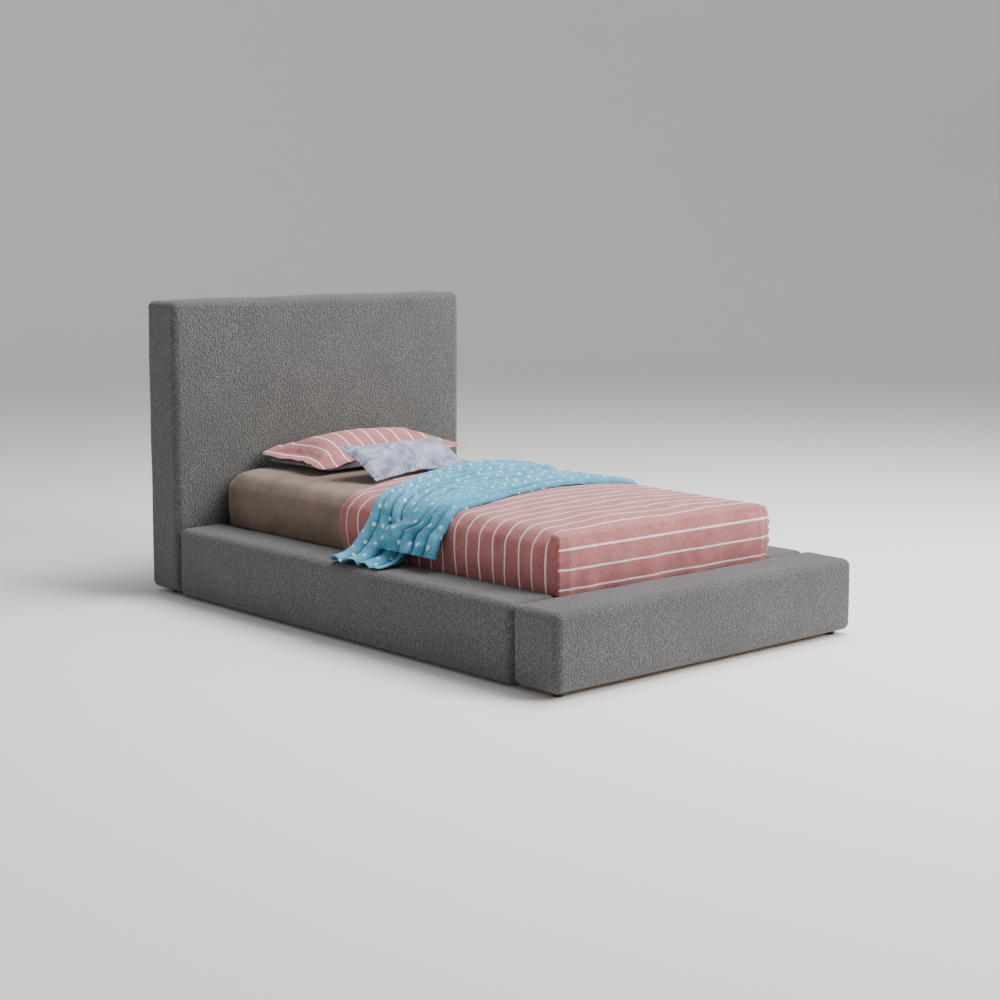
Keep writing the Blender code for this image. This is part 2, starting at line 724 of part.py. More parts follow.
def axle_mesh():
    """A rivet: a shaft through the wheel and the cheeks, with a flat head outside each cheek."""
    half = WHEEL_WIDTH / 2 + FORK_SIDE_GAP + FORK_STEEL + RUNNING_GAP
    head = 0.0015
    profile = [
        (0, -half - head),
        (1.7 * AXLE_RADIUS, -half - head),
        (1.7 * AXLE_RADIUS, -half),
        (AXLE_RADIUS, -half),
        (AXLE_RADIUS, half),
        (1.7 * AXLE_RADIUS, half),
        (1.7 * AXLE_RADIUS, half + head),
        (0, half + head),
    ]
    return turned("axle", profile, 24)


def turned(name, profile, sides, closed=False):
    """A solid of revolution about Y, from points given as (radius, y)."""
    bm = bmesh.new()
    verts = [bm.verts.new((radius, y, 0)) for radius, y in profile]
    pairs = list(zip(verts, verts[1:] + (verts[:1] if closed else [])))
    edges = [bm.edges.new(pair) for pair in pairs]
    bmesh.ops.spin(
        bm, geom=verts + edges, cent=(0, 0, 0), axis=(0, 1, 0), angle=2 * math.pi, steps=sides, use_merge=True
    )
    bmesh.ops.remove_doubles(bm, verts=bm.verts, dist=1e-6)
    bmesh.ops.recalc_face_normals(bm, faces=bm.faces)
    return to_mesh(name, bm)


def wheel_mesh():
    """A nylon roller with a bore and slightly rounded shoulders."""
    bore = AXLE_RADIUS + RUNNING_GAP
    half = WHEEL_WIDTH / 2
    shoulder = 0.0025
    profile = [
        (bore, -half),
        (WHEEL_RADIUS - shoulder, -half),
        (WHEEL_RADIUS - shoulder / 4, -half + shoulder / 4),
        (WHEEL_RADIUS, -half + shoulder),
        (WHEEL_RADIUS, half - shoulder),
        (WHEEL_RADIUS - shoulder / 4, half - shoulder / 4),
        (WHEEL_RADIUS - shoulder, half),
        (bore, half),
    ]
    return turned("wheel", profile, WHEEL_SIDES, closed=True)


def add_casters(parent):
    """Four fixed casters under the deck. Each wheel turns about its own axle, along Y."""
    front, back, foot_y, head_y = tray_box()
    fork, axle, wheel = fork_mesh(), axle_mesh(), wheel_mesh()
    places_x = {"near": front + CASTER_INSET_X, "far": back - CASTER_INSET_X}
    places_y = {"foot": foot_y + CASTER_INSET_Y, "head": head_y - CASTER_INSET_Y}
    for side, x in places_x.items():
        for end, y in places_y.items():
            centre = (x, y, WHEEL_RADIUS)
            add_object(f"caster_fork_{side}_{end}", fork, "zinc", centre, parent=parent)
            add_object(f"caster_axle_{side}_{end}", axle, "zinc", centre, parent=parent)
            add_object(f"caster_wheel_{side}_{end}", wheel, "black_plastic", centre, parent=parent)


def add_trundle():
    """Everything that rolls out together, held by one empty."""
    trundle = bpy.data.objects.new("trundle", None)
    bpy.context.scene.collection.objects.link(trundle)
    add_low_box(
        "trundle_front",
        (-HALF_WIDTH, WELL_FOOT_Y + JOINT_GAP, TRUNDLE_FRONT_GAP),
        (-WELL_X, WELL_HEAD_Y - JOINT_GAP, LEDGE_HEIGHT),
        6,
        trundle,
    )
    add_tray(trundle)
    add_casters(trundle)


def add_bed():
    """Everything that stands still."""
    add_headboard()
    low = (-HALF_WIDTH, -HALF_LENGTH, GLIDE_HEIGHT)
    add_low_box("footboard", low, (HALF_WIDTH, WELL_FOOT_Y, LEDGE_HEIGHT), 4)
    add_low_box(
        "far_side",
        (WELL_X, WELL_FOOT_Y + JOINT_GAP, GLIDE_HEIGHT),
        (HALF_WIDTH, WELL_HEAD_Y - JOINT_GAP, LEDGE_HEIGHT),
        6,
    )
    add_glides()
    beam_x, beam_low, near_x = add_support()
    add_brackets(beam_x, beam_low)
    add_slats(near_x)
    add_mattress()
    add_sheet_and_quilt()
    add_throw()
    add_pillows()


clear_scene()
add_bed()
add_trundle()
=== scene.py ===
# %% [markdown]
# # An upholstered twin bed with a trundle bed under it
# The joints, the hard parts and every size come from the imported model, which is loaded first. This file
# gives each part its surface: bouclé over foam, cotton over a mattress, a gathered fleece throw, pillows,
# pine, plywood and steel. Every new shape is a surface worked out with numpy, as whole arrays, and then
# handed to Blender.

# %% Load the model
import json
import math

import bmesh
import bpy
import numpy as np
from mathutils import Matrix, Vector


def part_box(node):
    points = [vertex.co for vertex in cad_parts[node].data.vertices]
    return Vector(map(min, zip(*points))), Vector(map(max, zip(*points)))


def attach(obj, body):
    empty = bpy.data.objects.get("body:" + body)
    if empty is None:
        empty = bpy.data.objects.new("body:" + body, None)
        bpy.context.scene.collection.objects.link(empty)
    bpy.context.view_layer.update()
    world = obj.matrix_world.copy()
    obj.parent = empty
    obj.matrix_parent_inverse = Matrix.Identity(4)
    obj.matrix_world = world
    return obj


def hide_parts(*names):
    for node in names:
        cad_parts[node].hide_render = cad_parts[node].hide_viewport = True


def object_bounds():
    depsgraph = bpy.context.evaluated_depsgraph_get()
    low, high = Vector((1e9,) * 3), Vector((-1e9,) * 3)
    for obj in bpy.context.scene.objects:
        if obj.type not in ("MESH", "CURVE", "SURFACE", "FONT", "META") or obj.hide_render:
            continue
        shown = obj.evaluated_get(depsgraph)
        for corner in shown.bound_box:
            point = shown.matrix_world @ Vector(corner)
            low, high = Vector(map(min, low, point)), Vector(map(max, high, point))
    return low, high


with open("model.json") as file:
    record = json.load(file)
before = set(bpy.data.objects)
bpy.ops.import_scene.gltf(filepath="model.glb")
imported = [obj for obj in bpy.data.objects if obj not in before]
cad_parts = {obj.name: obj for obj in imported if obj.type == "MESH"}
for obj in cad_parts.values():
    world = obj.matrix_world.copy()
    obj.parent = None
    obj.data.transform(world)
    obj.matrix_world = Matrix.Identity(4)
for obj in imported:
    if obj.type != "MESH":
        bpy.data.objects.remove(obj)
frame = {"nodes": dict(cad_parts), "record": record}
cad_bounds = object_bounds()
MM = 0.001

# %% [markdown]
# ## Camera
# A long lens from a standing person's height keeps the bed's upright edges nearly parallel. The camera
# could aim down at the bed and let its uprights converge, but the view is tilted only a little and the
# frame is shifted instead, as is done for a building.

# %% Camera
CAMERA_PLACE = (-4.6051, -5.2864, 1.479)
CAMERA_HEADING = math.radians(41.616)
CAMERA_TILT = math.radians(6.741)

camera_data = bpy.data.cameras.new("camera")
camera_data.sensor_width = 36.0
camera_data.lens = 67.86
camera_data.shift_y = -0.06
camera = bpy.data.objects.new("camera", camera_data)
camera.location = CAMERA_PLACE
camera.rotation_euler = (math.pi / 2 - CAMERA_TILT, 0.0, -CAMERA_HEADING)
bpy.context.scene.collection.objects.link(camera)
bpy.context.scene.camera = camera

# %% [markdown]
# ## Helpers for meshes and materials
# A mesh is filled from arrays of points and of faces. A material is a Principled shader whose colour,
# roughness and bump come from nodes that read the object's own coordinates in metres, so that a pattern
# has a real size.


# %% Mesh helpers
def new_piece(name, points, faces, cloth=None, recalculate=False):
    """A smooth-shaded object from an (n, 3) array of points and a list of faces.

    cloth is how far each point lies along and across the cloth it was cut from, in metres: an (n, 2) array, or
    one of (faces, 4, 2) where the cloth has a seam and a point lies in two places on it.
    """
    mesh = bpy.data.meshes.new(name)
    mesh.from_pydata(points.tolist(), [], [list(map(int, face)) for face in faces])
    if cloth is not None:
        layer = mesh.uv_layers.new(name="cloth")
        corner = np.empty(len(mesh.loops), dtype=np.int32)
        mesh.loops.foreach_get("vertex_index", corner)
        places = cloth[corner] if cloth.ndim == 2 else cloth.reshape(-1, 2)
        layer.uv.foreach_set("vector", places.astype(np.float32).ravel())
    if recalculate:
        bm = bmesh.new()
        bm.from_mesh(mesh)
        bmesh.ops.recalc_face_normals(bm, faces=bm.faces)
        bm.to_mesh(mesh)
        bm.free()
    mesh.shade_smooth()
    mesh.update()
    piece = bpy.data.objects.new(name, mesh)
    bpy.context.scene.collection.objects.link(piece)
    return piece


def grid_faces(index, flip=False):
    """The four-sided faces between the neighbours of a 2-D array of point numbers."""
    a, b, c, d = index[:-1, :-1], index[1:, :-1], index[1:, 1:], index[:-1, 1:]
    order = (a, d, c, b) if flip else (a, b, c, d)
    return np.stack([corner.ravel() for corner in order], axis=1)


def waves(points, length, seed, count=28):
    """Smooth lumps between about -1 and 1: the mean of sine waves of that length in random directions."""
    source = np.random.default_rng(seed)
    directions = source.normal(size=(points.shape[-1], count))
    directions /= np.linalg.norm(directions, axis=0)
    rates = 2 * np.pi / (length * source.uniform(0.7, 1.5, count))
    phases = source.uniform(0, 2 * np.pi, count)
    return np.sin(points @ (directions * rates) + phases).sum(axis=-1) * math.sqrt(2 / count) / 1.6


def ease(value, start, end):
    """0 up to start, 1 from end on, and a smooth S between them."""
    share = np.clip((value - start) / (end - start), 0, 1)
    return share * share * (3 - 2 * share)


def thicken(piece, thickness, offset=1.0):
    """Gives a cloth its thickness, on its outer side."""
    wall = piece.modifiers.new("thickness", "SOLIDIFY")
    wall.thickness = thickness
    wall.offset = offset
    return piece


# %% Material helpers
def linear(hex_code):
    """An sRGB colour such as '7F7D7B' as linear red, green, blue and alpha."""
    values = np.array([int(hex_code[k : k + 2], 16) for k in (0, 2, 4)]) / 255
    lin = np.where(values <= 0.04045, values / 12.92, ((values + 0.055) / 1.055) ** 2.4)
    return (*(float(v) for v in lin), 1.0)


def new_material(name, hex_code, roughness, **sockets):
    """A Principled material, its node tree and its shader. Further sockets are given by name."""
    material = bpy.data.materials.new(name)
    material.use_nodes = True
    shader = material.node_tree.nodes["Principled BSDF"]
    shader.inputs["Base Color"].default_value = linear(hex_code)
    shader.inputs["Roughness"].default_value = roughness
    for socket, value in sockets.items():
        shader.inputs[socket.replace("_", " ")].default_value = value
    return material, material.node_tree, shader


def node(tree, kind, links=None, **settings):
    """Adds one node, sets its properties, and gives its inputs a value or another node's output."""
    made = tree.nodes.new(kind)
    for name, value in settings.items():
        setattr(made, name, value)
    for name, value in (links or {}).items():
        if isinstance(value, bpy.types.NodeSocket):
            tree.links.new(value, made.inputs[name])
        else:
            made.inputs[name].default_value = value
    return made


def paint(obj, material):
    obj.data.materials.clear()
    obj.data.materials.append(material)
    return obj


# %% [markdown]
# ## Stage and light
# A furniture studio hangs one large soft light ahead of the bed's foot and another above it, and lets a
# pale floor and walls fill the shadows. The floor here is a dish: flat in the middle and turned up far
# away, so that no horizon shows from any side.

# %% Stage and light
STAGE_FLAT = 11.0
STAGE_BEND = 5.0
STAGE_WALL = 9.0
FLOOR_Z = float(cad_bounds[0][2])


def add_stage():
    """A surface of revolution: a flat disc, a quarter circle upwards, then a wall."""
    turn = np.linspace(0, 2 * np.pi, 97)[:-1]
    bend = np.linspace(0, np.pi / 2, 13)
    curve = STAGE_FLAT + STAGE_BEND * np.sin(bend[1:])
    radius = np.concatenate([[0.02], np.linspace(1, STAGE_FLAT, 8), curve])
    height = np.concatenate([np.zeros(9), STAGE_BEND * (1 - np.cos(bend[1:]))])
    radius, height = np.append(radius, radius[-1]), np.append(height, STAGE_WALL)
    out = radius[:, None]
    points = np.stack([out * np.cos(turn), out * np.sin(turn), height[:, None] + 0 * turn], axis=-1)
    index = np.arange(len(radius) * len(turn)).reshape(len(radius), len(turn))
    index = np.concatenate([index, index[:, :1]], axis=1)
    faces = [*grid_faces(index), index[0, :-1]]
    floor = new_piece("studio_floor", points.reshape(-1, 3) + (0, 0, FLOOR_Z), faces)
    material, _, _ = new_material("matt_white_paper", "F4F3F1", 0.9)
    paint(floor, material)


def add_light(name, place, target, size, power, colour=(1, 1, 1)):
    data = bpy.data.lights.new(name, "AREA")
    data.shape = "SQUARE"
    data.size = size
    data.energy = power
    data.color = colour
    light = bpy.data.objects.new(name, data)
    light.location = place
    away = np.array(place) - np.array(target)
    spin = math.atan2(away[1], away[0]) + math.pi / 2
    light.rotation_euler = (math.atan2(math.hypot(away[0], away[1]), away[2]), 0, spin)
    bpy.context.scene.collection.objects.link(light)


add_stage()
add_light("foot_softbox", (3.4, -5.8, 4.0), (0, 0, 0.4), 3.0, 520)
add_light("overhead_softbox", (1.8, -0.8, 5.2), (0, 0, 0), 3.4, 480)
world = bpy.data.worlds.new("studio")
world.use_nodes = True
world.node_tree.nodes["Background"].inputs["Color"].default_value = (1.0, 1.0, 1.0, 1.0)
world.node_tree.nodes["Background"].inputs["Strength"].default_value = 0.38
bpy.context.scene.world = world

# %% [markdown]
# ## A box with soft edges
# Most of this bed is a padded box. A cube with a Bevel modifier would give the shape, but its faces would
# have nothing to carry a lump or a wrinkle. So the box is made as a lattice: points lie close together
# round its edges and evenly over its faces, and each is pushed outwards from an inner, sharp box by the
# edge's radius.


# %% The lattice box
def spread(low, high, radius, step, arc, open_low=False, open_high=False):
    """Places along one side: even over the flat, and round each edge at radius × tangent of even angles."""
    bend = radius * np.tan(np.linspace(0, np.pi / 4, arc + 1))[1:]
    start = low if open_low else low + radius
    end = high if open_high else high - radius
    flat = np.linspace(start, end, max(2, round((end - start) / step) + 1))
    before = [] if open_low else start - bend[::-1]
    after = [] if open_high else end + bend
    return np.concatenate([before, flat, after])


def box_lattice(low, high, radius, step, arc=5, open_sides=()):
    """The skin of a box with round edges: points, outward normals, point numbers by side, and the sharp box.

    Each point of the sharp box is moved to: nearest point of the inner box + radius × direction from it.
    A side in open_sides, given as (axis, end), has no face and its edges stay sharp.
    """
    low, high = np.array(low, float), np.array(high, float)
    opened = [[(k, end) in open_sides for end in (0, 1)] for k in range(3)]
    axes = [spread(low[k], high[k], radius, step, arc, *opened[k]) for k in range(3)]
    lattice = np.stack(np.meshgrid(*axes, indexing="ij"), axis=-1)
    skin = np.zeros(lattice.shape[:3], bool)
    for k in range(3):
        for end in (0, 1):
            if not opened[k][end]:
                skin[tuple(-end if m == k else slice(None) for m in range(3))] = True
    number = np.cumsum(skin).reshape(skin.shape) - 1
    sharp = lattice[skin]
    shrink = [[0 if opened[k][end] else radius for end in (0, 1)] for k in range(3)]
    inner = np.clip(sharp, low + [s[0] for s in shrink], high - [s[1] for s in shrink])
    normal = sharp - inner
    normal /= np.maximum(np.linalg.norm(normal, axis=1, keepdims=True), 1e-9)
    sides = {}
    for k in range(3):
        for end in (0, 1):
            if not opened[k][end]:
                sides[k, end] = number.take(-end, axis=k)
    return inner + radius * normal, normal, sides, sharp


def lattice_faces(sides):
    """All faces of the box's sides, turned outwards."""
    turned_out = [grid_faces(index, flip=(end == 0) != (k == 1)) for (k, end), index in sides.items()]
    return np.concatenate(turned_out)


# %% [markdown]
# ## Bouclé upholstery
# Bouclé is woven from looped yarn, so its face is a mass of small curls, here about 6 mm across. The
# curls are too many to model, so the material draws them as bump, with painted shade in the gaps between
# them and paler curl tops. The mesh only carries the unevenness of the padding, and a faint waver about
# three curls long that keeps its outline from being straight.

# %% Bouclé material
CURL = 6.5 * MM


def boucle_material():
    """Looped wool-look polyester yarn: no gloss, fibre tips painted brighter, and painted shade between the
    curls.
    """
    material, tree, shader = new_material(
        "boucle_looped_yarn", "83827F", 0.95, IOR=1.45, Sheen_Weight=0.25, Sheen_Roughness=0.6
    )
    place = node(tree, "ShaderNodeTexCoord").outputs["Object"]
    stir = node(tree, "ShaderNodeTexNoise", {"Vector": place, "Scale": 0.8 / CURL, "Detail": 1.0})
    bend = node(
        tree, "ShaderNodeVectorMath", {0: stir.outputs["Color"], "Scale": 0.8 * CURL}, operation="SCALE"
    )
    moved = node(tree, "ShaderNodeVectorMath", {0: place, 1: bend.outputs[0]}, operation="ADD").outputs[0]
    curls = node(
        tree,
        "ShaderNodeTexVoronoi",
        {"Vector": moved, "Scale": 1 / CURL, "Smoothness": 0.35},
        feature="SMOOTH_F1",
    ).outputs["Distance"]
    fibres = node(
        tree, "ShaderNodeTexNoise", {"Vector": moved, "Scale": 3.2 / CURL, "Detail": 2.0, "Roughness": 0.6}
    ).outputs["Fac"]
    fibre_lift = node(tree, "ShaderNodeMath", {0: fibres, 1: 0.45}, operation="MULTIPLY").outputs[0]
    height = node(tree, "ShaderNodeMath", {0: fibre_lift, 1: curls}, operation="SUBTRACT").outputs[0]
    bump = node(tree, "ShaderNodeBump", {"Height": height, "Strength": 1.0, "Distance": 0.8 * CURL})
    tree.links.new(bump.outputs[0], shader.inputs["Normal"])
    # Slow random unevenness of the yarn's colour, added to the curl heights below.
    drift = node(tree, "ShaderNodeTexNoise", {"Vector": place, "Scale": 5.0, "Detail": 2.0}).outputs["Fac"]
    shade = node(tree, "ShaderNodeMath", {0: drift, 1: 0.35}, operation="MULTIPLY").outputs[0]
    tone = node(tree, "ShaderNodeMath", {0: height, 1: shade}, operation="ADD").outputs[0]
    # Painted shade: the colour follows the curl height, dark 454442 in the gaps between curls and light 868581
    # on the curl tops.
    ramp = node(tree, "ShaderNodeValToRGB", {"Fac": tone})
    ramp.color_ramp.elements[0].position = 0.0
    ramp.color_ramp.elements[0].color = linear("454442")
    ramp.color_ramp.elements[1].position = 0.42
    ramp.color_ramp.elements[1].color = linear("868581")
    tree.links.new(ramp.outputs[0], shader.inputs["Base Color"])
    return material


boucle = boucle_material()

# %% Padded shells
EDGE = 27 * MM
WALL = 34 * MM
EDGE_ARC = 6
SETTLE = 1.5 * MM


def padded_shell(name, cad_node, open_side, pocket_depth, body, seed):
    """A padded box with a pocket sunk into one side for its timber frame.

    Every point is lifted along its normal by three things: a crown that is highest mid-face, slow waves where
    the foam is uneven, and a faint waver about three curls long.
    """
    low, high = (np.array(corner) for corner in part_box(cad_node))
    low, high = low + SETTLE, high - SETTLE
    points, normal, sides, _ = box_lattice(low, high, EDGE, 9 * MM, EDGE_ARC)
    middle, half = (low + high) / 2, (high - low) / 2
    share = np.clip(np.abs(points - middle) / half, 0, 1)
    flatness = np.max(np.abs(normal), axis=1) ** 8
    face_axis = np.argmax(np.abs(normal), axis=1)
    others = np.where(np.arange(3)[None, :] == face_axis[:, None], 0, share)
    crown = 2.2 * MM * flatness * np.prod(1 - others**6, axis=1)
    lift = crown + 1.3 * MM * waves(points, 0.30, seed) + 0.35 * MM * waves(points, 3 * CURL, seed + 1)
    axis, end = open_side
    lift *= 1 - ease(normal[:, axis] * (1 if end else -1), 0.6, 0.95)
    points = points + normal * np.minimum(lift, SETTLE + 3 * MM)[:, None]

    # The open side keeps only its rim: its outermost cells, as many as round an edge.
    rim = sides.pop(open_side)
    faces = [lattice_faces(sides)]
    cells = grid_faces(rim, flip=(end == 0) != (axis == 1)).reshape(rim.shape[0] - 1, rim.shape[1] - 1, 4)
    keep = np.ones(cells.shape[:2], bool)
    keep[EDGE_ARC:-EDGE_ARC, EDGE_ARC:-EDGE_ARC] = False
    faces.append(cells[keep])
    a, b = EDGE_ARC, -EDGE_ARC - 1
    ring = np.concatenate([rim[a:b, a], rim[b, a:b], rim[b:a:-1, b], rim[a, b:a:-1]])

    # The pocket: the rim's inner loop moved in to the wall's thickness, then down, then closed.
    mouth = points[ring]
    plane = [k for k in range(3) if k != axis]
    mouth[:, plane] = np.clip(mouth[:, plane], (low + WALL - SETTLE)[plane], (high - WALL + SETTLE)[plane])
    floor = mouth.copy()
    floor[:, axis] += pocket_depth * (-1 if end else 1)
    count, size = len(points), len(ring)
    rows = np.stack([ring, count + np.arange(size), count + size + np.arange(size)])
    rows = np.concatenate([rows, rows[:, :1]], axis=1)
    faces.append(grid_faces(rows))
    points = np.concatenate([points, mouth, floor])
    faces = np.concatenate(faces)
    used = np.zeros(len(points), bool)
    used[faces.ravel()] = True
    renumber = np.cumsum(used) - 1
    cap = renumber[rows[2, :-1]]
    piece = new_piece(name, points[used], [*renumber[faces], cap], recalculate=True)
    paint(piece, boucle)
    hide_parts(cad_node)
    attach(piece, body)
    print(name, len(faces), "faces")
    return piece


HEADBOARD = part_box("headboard_upholstery")
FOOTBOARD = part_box("footboard_upholstery")
TRUNDLE_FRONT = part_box("trundle_front_upholstery")
LEDGE = TRUNDLE_FRONT[1].z
frame_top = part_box("footboard_frame")[1].z
headboard_depth = HEADBOARD[1].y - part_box("headboard_frame")[0].y
fixed_depth, trundle_depth = frame_top - FOOTBOARD[0].z, frame_top - TRUNDLE_FRONT[0].z
BACK, BOTTOM = (1, 1), (2, 0)
padded_shell("headboard_cover", "headboard_upholstery", BACK, headboard_depth, "bed", 11)
padded_shell("footboard_cover", "footboard_upholstery", BOTTOM, fixed_depth, "bed", 12)
padded_shell("far_side_cover", "far_side_upholstery", BOTTOM, fixed_depth, "bed", 13)
padded_shell("trundle_front_cover", "trundle_front_upholstery", BOTTOM, trundle_depth, "trundle", 14)

# %% [markdown]
# ## Mattress and fitted sheet
# The mattress is a foam block with a domed top, because its middle is padded more than its edges. The
# fitted sheet is stretched over it by elastic under its lower edge, so it shows the mattress's own shape
# with a few faint pulls.

# %% Bed surface
MATTRESS_LOW, MATTRESS_HIGH = (np.array(corner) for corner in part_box("mattress"))
CROWN = 28 * MM
CORNER = 46 * MM
SHEET_BULGE = 7 * MM
SHEET_HEAD_FILL = 9 * MM
MATTRESS_TOP = MATTRESS_HIGH[2] - CROWN
HALF = (MATTRESS_HIGH - MATTRESS_LOW) / 2
CENTRE = (MATTRESS_HIGH + MATTRESS_LOW) / 2


def dome(x, y):
    """How far the padding lifts the top: crown × (1 - |u|ᵖ) × (1 - v⁴), for u, v from -1 to 1.

    Towards the head, where less is sat on, the padding is flatter and fuller: p grows and v no longer counts.
    """
    u, v = (x - CENTRE[0]) / HALF[0], (y - CENTRE[1]) / HALF[1]
    across = 1 - np.clip(np.abs(u), 0, 1) ** (2 + 6 * ease(v, 0.1, 0.8))
    return CROWN * across * np.where(v < 0, np.clip(1 - v**4, 0, 1), 1.0)


def domed(points):
    """Lifts points by the dome, in proportion to their height on the mattress."""
    height = np.clip((points[:, 2] - MATTRESS_LOW[2]) / (MATTRESS_TOP - MATTRESS_LOW[2]), 0, 1)
    return points + np.stack([0 * height, 0 * height, height * dome(points[:, 0], points[:, 1])], axis=1)


def box_cloth(sharp, sides, low, high, shift=0.0):
    """Cloth coordinates for each corner of each face: across and along on top, and on down each side.

    The end panels are sewn in, so their pattern is shifted against the top's.
    """
    rows = []
    for (k, end), index in sides.items():
        at = sharp[grid_faces(index, flip=(end == 0) != (k == 1))]
        across, along = at[..., 0].copy(), at[..., 1].copy()
        drop = (high[2] - at[..., 2]) * (1 if end else -1)
        if k == 0:
            across += drop
        elif k == 1:
            along += drop
        if k != 1:
            along -= shift
        rows.append(np.stack([across, along], axis=-1))
    return np.concatenate(rows)


def add_mattress():
    """The bed's own mattress, which shows only from below."""
    low, high = MATTRESS_LOW, np.array([*MATTRESS_HIGH[:2], MATTRESS_TOP])
    points, _, sides, _ = box_lattice(low, high, CORNER, 40 * MM, 4)
    piece = new_piece("mattress_core", domed(points), lattice_faces(sides))
    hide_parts("mattress")
    return piece


def add_fitted_sheet():
    """Stretched cotton: the mattress's shape, slow waves, and short gathers just above the elastic."""
    grow = 1.0 * MM
    low = MATTRESS_LOW - (grow, grow, -0.003)
    high = np.array([*(MATTRESS_HIGH[:2] + grow), MATTRESS_TOP + grow])
    points, normal, sides, sharp = box_lattice(low, high, CORNER + grow, 13 * MM, 6, open_sides={(2, 0)})
    lift = 0.7 * MM * (1 + waves(points, 0.22, 31))
    wall = 1 - ease(np.abs(normal[:, 2]), 0.2, 0.7)
    round_bed = np.arctan2(points[:, 1] / HALF[1], points[:, 0] / HALF[0])
    near_hem = 1 - ease(points[:, 2], low[2], low[2] + 0.05)
    # It bulges a little between the ledge and its top edge, and fills the gap to the headboard.
    height = (points[:, 2] - LEDGE) / (MATTRESS_TOP - LEDGE)
    lift += wall * SHEET_BULGE * np.sin(np.pi * np.clip(height, 0, 1))
    lift += wall * SHEET_HEAD_FILL * ease(normal[:, 1], 0.3, 0.9)
    lift += wall * near_hem * 1.5 * MM * (1 + np.sin(150 * round_bed + 3 * waves(points, 0.4, 32)))
    points = domed(points + normal * lift[:, None])
    cloth = box_cloth(sharp, sides, low, high)
    piece = new_piece("fitted_cotton_sheet", points, lattice_faces(sides), cloth)
    thicken(piece, 0.8 * MM)
    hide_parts("fitted_sheet")
    return piece


mattress = add_mattress()
sheet = add_fitted_sheet()

# %% [markdown]
# ## Quilt
# The quilt is a bedspread with boxed foot corners: the top panel runs straight down both long sides, and
# a foot panel is sewn in between. The seam is a little too long for the corner, so it puckers. The head
# edge is turned back at a slant.

# %% Quilt shape
QUILT_LOW, QUILT_HIGH = (np.array(corner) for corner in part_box("quilt"))
QUILT_EDGE = 62 * MM
QUILT_SLANT = math.tan(math.radians(16))
QUILT_HEAD = float(QUILT_HIGH[1]) - QUILT_HIGH[0] * QUILT_SLANT
QUILT_TOP = MATTRESS_TOP + 9.5 * MM
QUILT_CLOTH = 3 * MM
QUILT_OVERHANG = 8 * MM
STRIPE_SPACING = 65 * MM
STRIPE_WIDTH = 6.5 * MM
HEM_DROP = 13 * MM
QUILT_BULGE = 9 * MM
HEAD_EDGE_BULGE = 28 * MM
PATTERN_SHIFT = STRIPE_SPACING / 2


def quilt_seam(points, sharp, low, high, lean, drop):
    """What the foot corners' seam adds: a ruffle on it, a groove and puckers beside it, and a fold near it.

    Each fades out with e^(-distance from the seam / its own width). lean is the shear at each point, and drop
    is its share of the way down to the hem.
    """
    out_x, out_y = high[0] - np.abs(sharp[:, 0]), sharp[:, 1] - lean - low[1]
    beside = np.maximum(out_x, out_y)
    shallow = np.minimum(out_x, out_y) < 5 * MM
    at_seam = np.exp(-((beside / 0.004) ** 2)) * (sharp[:, 2] < high[2] + MM)
    ruffle = 5 * MM + 3.5 * MM * np.sin(points[:, 2] * 2 * np.pi / 0.041 + 2 * waves(points, 0.1, 45))
    pucker = np.sin(points[:, 2] * 2 * np.pi / 0.036 + 2 * waves(points, 0.08, 46))
    groove = at_seam * ruffle + shallow * (1 - at_seam) * np.exp(-beside / 0.016) * -3 * MM
    groove += shallow * ease(drop, 0.02, 0.15) * 2.0 * MM * pucker * np.exp(-beside / 0.020)
    fold = shallow * (out_y < 5 * MM) * 3 * MM * np.exp(-(((out_x - 0.045) / 0.012) ** 2))
    return groove + fold


